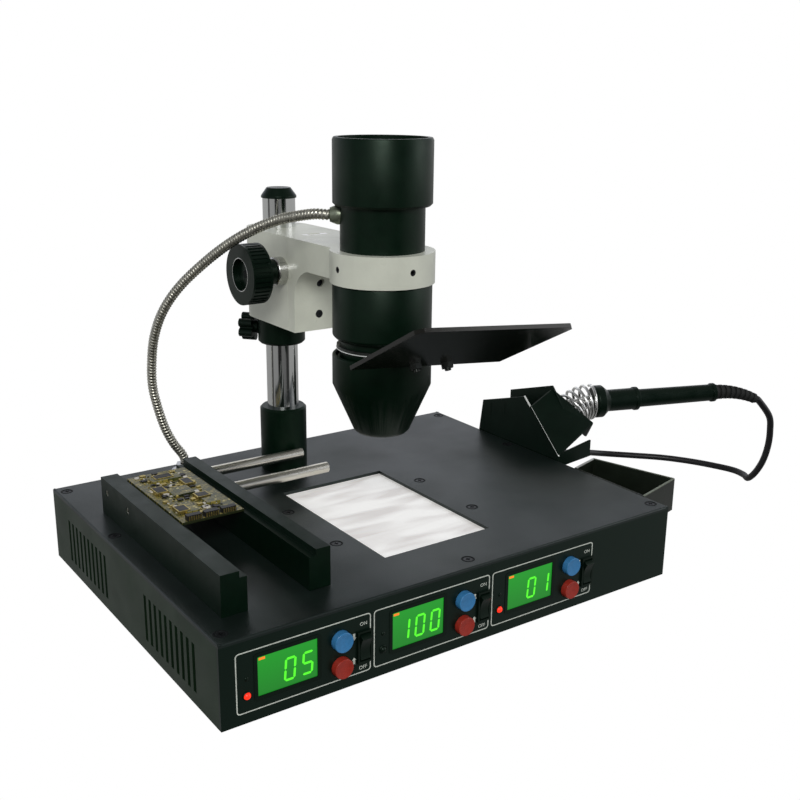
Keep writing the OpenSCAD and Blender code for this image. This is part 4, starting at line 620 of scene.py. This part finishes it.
frames, bezels, greens, digits = Solids(), Solids(), Solids(), Solids()
reds, oranges, darks, marks = Solids(), Solids(), Solids(), Solids()
for i, text in enumerate(("05", "100", "01")):
    cx = UNIT_X + PITCH_X * i
    frames.band(rounded(cx, FOOT + 24.6, 85.0, 36.4, 2.2), rounded(cx, FOOT + 24.6, 83.7, 35.1, 1.6),
        PANEL_Y - 0.06, PANEL_Y)
    dx, dz = cx - 11, FOOT + 25.5
    bezels.band(rounded(dx, dz, 41.6, 28.2, 2.0), rounded(dx, dz, 37.0, 23.6, 0.6), PANEL_Y - 0.25,
        PANEL_Y + 0.6)
    greens.slab(rounded(dx, dz, 37.6, 24.2, 0.6), PANEL_Y + 0.5, PANEL_Y + 0.8)
    for j, char in enumerate(text.rjust(3)):
        if char != " ":
            digit(digits, char, dx + 1.5 + (j - 1) * 11, dz - 1.5, 5.8, 12.8, 1.35, PANEL_Y + 0.42,
                PANEL_Y + 0.5)
    oranges.box(dx - 17.4, dx - 13.6, PANEL_Y + 0.42, PANEL_Y + 0.5, dz + 9.4, dz + 10.8)
    lamp = reds if i != 1 else darks
    dome = [(0, 2.1), (0.7, 1.95), (1.35, 1.45), (1.8, 0.7), (1.9, 0.02)]
    lamp.turned(dome, (cx - 36, PANEL_Y, FOOT + 16.5), (0, -1, 0), 24)
    darks.turned([(0, 2.7), (0.5, 2.6), (0.6, 2.2), (0.1, 2.1)], (cx - 36, PANEL_Y, FOOT + 16.5),
        (0, -1, 0), 24)
    darks.turned([(0, 1.3), (0.3, 1.2), (0.5, 0.6), (0.52, 0.02)], (cx - 36, PANEL_Y, FOOT + 26.5),
        (0, -1, 0), 20)
    for s in (-1, 1):
        z = FOOT + 22.9 + s * 7.0
        marks.slab([(cx + 31.2, z - s * 1.6), (cx + 32.6, z), (cx + 31.9, z), (cx + 31.9, z + s * 2.6),
                    (cx + 30.5, z + s * 2.6), (cx + 30.5, z), (cx + 29.8, z)][::s], PANEL_Y - 0.06, PANEL_Y)
for solids, name, mat in ((frames, "panel_frames", "ink"), (bezels, "display_bezels", "black"),
    (greens, "display_faces", "lit_green"),
                          (digits, "display_digits", "digit"), (oranges, "display_marks", "lit_orange"),
                          (reds, "lamps_lit", "lit_red"), (darks, "lamps_dark", "black"),
                          (marks, "button_marks", "ink")):
    solids.make(name, "base", M[mat], smooth=name.startswith("lamps"))


def label(name, text, x, z, size):
    """A short switch word, as a thin raised print on the panel."""
    curve = bpy.data.curves.new(name, "FONT")
    curve.body, curve.size, curve.extrude = text, size * MM, 0.00003
    curve.align_x, curve.align_y = "CENTER", "CENTER"
    obj = bpy.data.objects.new(name, curve)
    bpy.context.scene.collection.objects.link(obj)
    obj.matrix_world = Matrix.Translation((x * MM, (PANEL_Y - 0.03) * MM,
        z * MM)) @ Matrix.Rotation(math.radians(90), 4, "X")
    bpy.context.view_layer.update()
    mesh = bpy.data.meshes.new_from_object(obj.evaluated_get(bpy.context.evaluated_depsgraph_get()))
    mesh.transform(obj.matrix_world)
    bpy.data.objects.remove(obj)
    out = bpy.data.objects.new(name, mesh)
    mesh.materials.clear()
    mesh.materials.append(M["ink"])
    bpy.context.scene.collection.objects.link(out)
    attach(out, "base")


for i in range(3):
    cx = UNIT_X + PITCH_X * i
    label(f"switch_on_{i + 1}", "ON", cx + 37.6, FOOT + 37.0, 3.1)
    label(f"switch_off_{i + 1}", "OFF", cx + 37.2, FOOT + 9.6, 3.1)

# Parts on the sample board
rng = random.Random(11)
chips, pads, golds = Solids(), Solids(), Solids()
X0, X1, Y0, Y1, TOP = -142.75, -101.75, -25.0, 65.0, 76.3 + 1.6
for i in range(230):
    x, y = rng.uniform(X0 + 5, X1 - 6), rng.uniform(Y0 + 5, Y1 - 4)
    w, d, h = rng.choice(((1.2, 0.7, 0.5), (1.8, 1.1, 0.6), (2.6, 2.0, 0.8), (0.8, 1.6, 0.5),
        (3.4, 2.8, 0.9)))
    (chips, golds, pads, chips, golds)[i % 5].box(x, x + w, y, y + d, TOP, TOP + h)
for x, y, w, d in ((-137, -12, 8, 10), (-127, 48, 13, 8), (-117, 4, 9, 8), (-136, 24, 8, 11),
        (-114, 30, 7, 11)):
    golds.box(x, x + w, y, y + d, TOP, TOP + 2.0)
    chips.box(x + 0.8, x + w - 0.8, y + 0.8, y + d - 0.8, TOP, TOP + 2.1)
for i in range(3):
    x = X0 + 6 + 11.5 * i
    chips.box(x, x + 9.5, Y0 + 0.4, Y0 + 4.4, TOP, TOP + 3.4)
    for k in range(6):
        golds.box(x + 0.7 + 1.5 * k, x + 1.4 + 1.5 * k, Y0 - 0.1, Y0 + 0.5, TOP + 0.3, TOP + 2.9)
chips.make("board_chips", "board", M["chip"])
golds.make("board_gold", "board", M["gold"])
pads.make("board_parts", "board", M["ceramic"])


def strip(solids, p, q, across, out):
    """A thin strip from p to q, as wide as the vector across, lifted along out."""
    p, q, across, out = Vector(p), Vector(q), Vector(across), Vector(out)
    base = [p, q, q + across, p + across]
    solids.add(base + [v + out for v in base], [(3, 2, 1, 0), (4, 5, 6, 7), (0, 1, 5, 4), (1, 2, 6, 5),
        (2, 3, 7, 6), (3, 0, 4, 7)])


# Light strips along the edges of the stand and the tray: painted highlights of their bright edge lines
DECK, RIM, SIDE_X = 55.2, 54.7, 169.9
edge_highlight_strips = Solids()
strip(edge_highlight_strips, (SIDE_X, 20.3, 96.7), (SIDE_X, 11.0, 88.2), (1.4, 0, 0), Vector((0, -0.678, 0.735)) * 0.5)
strip(edge_highlight_strips, (169.74, 11.0, 90.4), (169.74, -21.7, 59.85), (1.3, 0, 0), (0, -0.85, -0.95))
strip(edge_highlight_strips, (171.2, -41.25, 54.5), (196.8, -33.86, 54.5), (0, 1.5, 0), (0, 0, 0.75))
edge_highlight_strips.make("painted_edge_highlights", "base", M["edge"])
# The tray rims in the dull fitting finish: painted highlights of their lighter lines
rim_highlight_strips = Solids()
strip(rim_highlight_strips, (196.7, -33.9, RIM), (214.7, -96.9, RIM), (1.3, 0, 0), (0, 0, 0.55))
strip(rim_highlight_strips, (214.9, -98.35, RIM), (170.4, -109.95, RIM), (0, 1.6, 0), (0, 0, 0.55))
rim_highlight_strips.make("painted_rim_highlights", "base", M["fitting"])

# Dark seats round the cover screws, and a bright turned edge round the recess of each knob
rings = Solids()
for x, y in ([(x, y) for x in (-163.5, 163.5) for y in (-122, 30, 122)] + [(2, -122), (2, 122)]
             + [(x, y) for x in (-52.5, 56.5) for y in (3, -58)]):
    rings.turned([(0, 4.3), (0.12, 4.1), (0.12, 3.05), (0, 3.0)], (x, y, DECK), (0, 0, 1), 32)
rings.make("screw_rings", "base", M["washer_and_shade"], smooth=True)
KNOB_Y, KNOB_Z = 41, 211.5
glints = Solids()
for x, way in ((-64.0, -1), (44.0, 1)):
    glints.turned([(-0.5, 10.5), (0.04, 10.55), (0.04, 11.1), (-0.5, 11.2)], (x, KNOB_Y, KNOB_Z),
        (way, 0, 0), 64)
glints.make("knob_rims", "focus_drive", M["plated"], smooth=True)

# A light ring on the clip ring at the neck: a painted highlight of its bright line
CLIP_Z = 173.9
ring = Solids()
ring.turned([(0, 28.6), (0.5, 28.7), (0.5, 27.0), (0, 26.9)], (LAMP_X, LAMP_Y, CLIP_Z), (0, 0, 1), 72)
ring.make("clip_highlight_line", "shield", M["edge"], smooth=True)

# Light: white to the camera, an uneven studio to everything else
world = bpy.data.worlds.new("studio")
bpy.context.scene.world = world
world.use_nodes = True
wn, wl = world.node_tree.nodes, world.node_tree.links
wn.clear()
out = wn.new("ShaderNodeOutputWorld")
white, studio = wn.new("ShaderNodeBackground"), wn.new("ShaderNodeBackground")
pick, path = wn.new("ShaderNodeMixShader"), wn.new("ShaderNodeLightPath")
white.inputs["Color"].default_value = (1, 1, 1, 1)
coord, split = wn.new("ShaderNodeTexCoord"), wn.new("ShaderNodeSeparateXYZ")
ramp = wn.new("ShaderNodeValToRGB")


def stops(node, table):
    """Sets the stops of a colour ramp from (position, grey or colour) pairs."""
    table = [(pos, (value,) * 3 if isinstance(value, float) else value) for pos, value in table]
    elements = node.color_ramp.elements
    while len(elements) > 1:
        elements.remove(elements[-1])
    elements[0].position, elements[0].color = table[0][0], (*table[0][1], 1)
    for pos, value in table[1:]:
        elements.new(pos).color = (*value, 1)


stops(ramp, ((0.30, 0.30), (0.47, 0.50), (0.53, 0.95), (0.57, 0.92), (0.61, (0.68, 0.70, 0.80)),
    (0.68, (0.60, 0.64, 0.76)),
             (0.73, (0.34, 0.36, 0.38)), (0.78, 0.26), (0.86, 0.20), (1.0, 0.30)))
scale = wn.new("ShaderNodeMapRange")
scale.inputs["From Min"].default_value = -1.0
turn, round_about = wn.new("ShaderNodeMath"), wn.new("ShaderNodeMapRange")
turn.operation = "ARCTAN2"
round_about.inputs["From Min"].default_value, round_about.inputs["From Max"].default_value = -math.pi, math.pi
cards, both = wn.new("ShaderNodeValToRGB"), wn.new("ShaderNodeMix")
stops(cards, ((0.0, 0.8), (0.084, 0.75), (0.094, 0.05), (0.152, 0.05), (0.165, 0.42), (0.236, 0.40),
    (0.262, 0.10),
              (0.300, 0.10), (0.320, 1.0), (0.48, 1.0), (0.93, 1.0), (0.952, 0.15), (0.972, 0.15),
              (0.986, 0.8)))
both.data_type, both.blend_type = "RGBA", "MULTIPLY"
both.inputs[0].default_value = 1.0
studio.inputs["Strength"].default_value = 0.95
wl.new(coord.outputs["Generated"], split.inputs["Vector"])
wl.new(split.outputs["Z"], scale.inputs["Value"])
wl.new(scale.outputs["Result"], ramp.inputs["Fac"])
wl.new(split.outputs["Y"], turn.inputs[0])
wl.new(split.outputs["X"], turn.inputs[1])
wl.new(turn.outputs["Value"], round_about.inputs["Value"])
wl.new(round_about.outputs["Result"], cards.inputs["Fac"])
wl.new(ramp.outputs["Color"], both.inputs[6])
wl.new(cards.outputs["Color"], both.inputs[7])
wl.new(both.outputs[2], studio.inputs["Color"])
wl.new(path.outputs["Is Camera Ray"], pick.inputs[0])
wl.new(studio.outputs["Background"], pick.inputs[1])
wl.new(white.outputs["Background"], pick.inputs[2])
wl.new(pick.outputs["Shader"], out.inputs["Surface"])


def area(name, place, aim, size, power, color=(1, 1, 1)):
    data = bpy.data.lights.new(name, "AREA")
    data.shape, data.size, data.size_y = "RECTANGLE", size[0], size[1]
    data.energy, data.color = power, color
    lamp = bpy.data.objects.new(name, data)
    bpy.context.scene.collection.objects.link(lamp)
    lamp.location = place
    lamp.rotation_euler = (Vector(aim) - Vector(place)).to_track_quat("-Z", "Y").to_euler()


area("key", (-1.1, -1.5, 1.3), (0, 0, 0.12), (0.9, 0.9), 26)
area("fill", (1.5, -1.0, 0.9), (0, 0, 0.12), (1.0, 1.0), 6)
area("rim", (0.9, 1.4, 1.3), (0, 0, 0.1), (1.4, 0.7), 3)
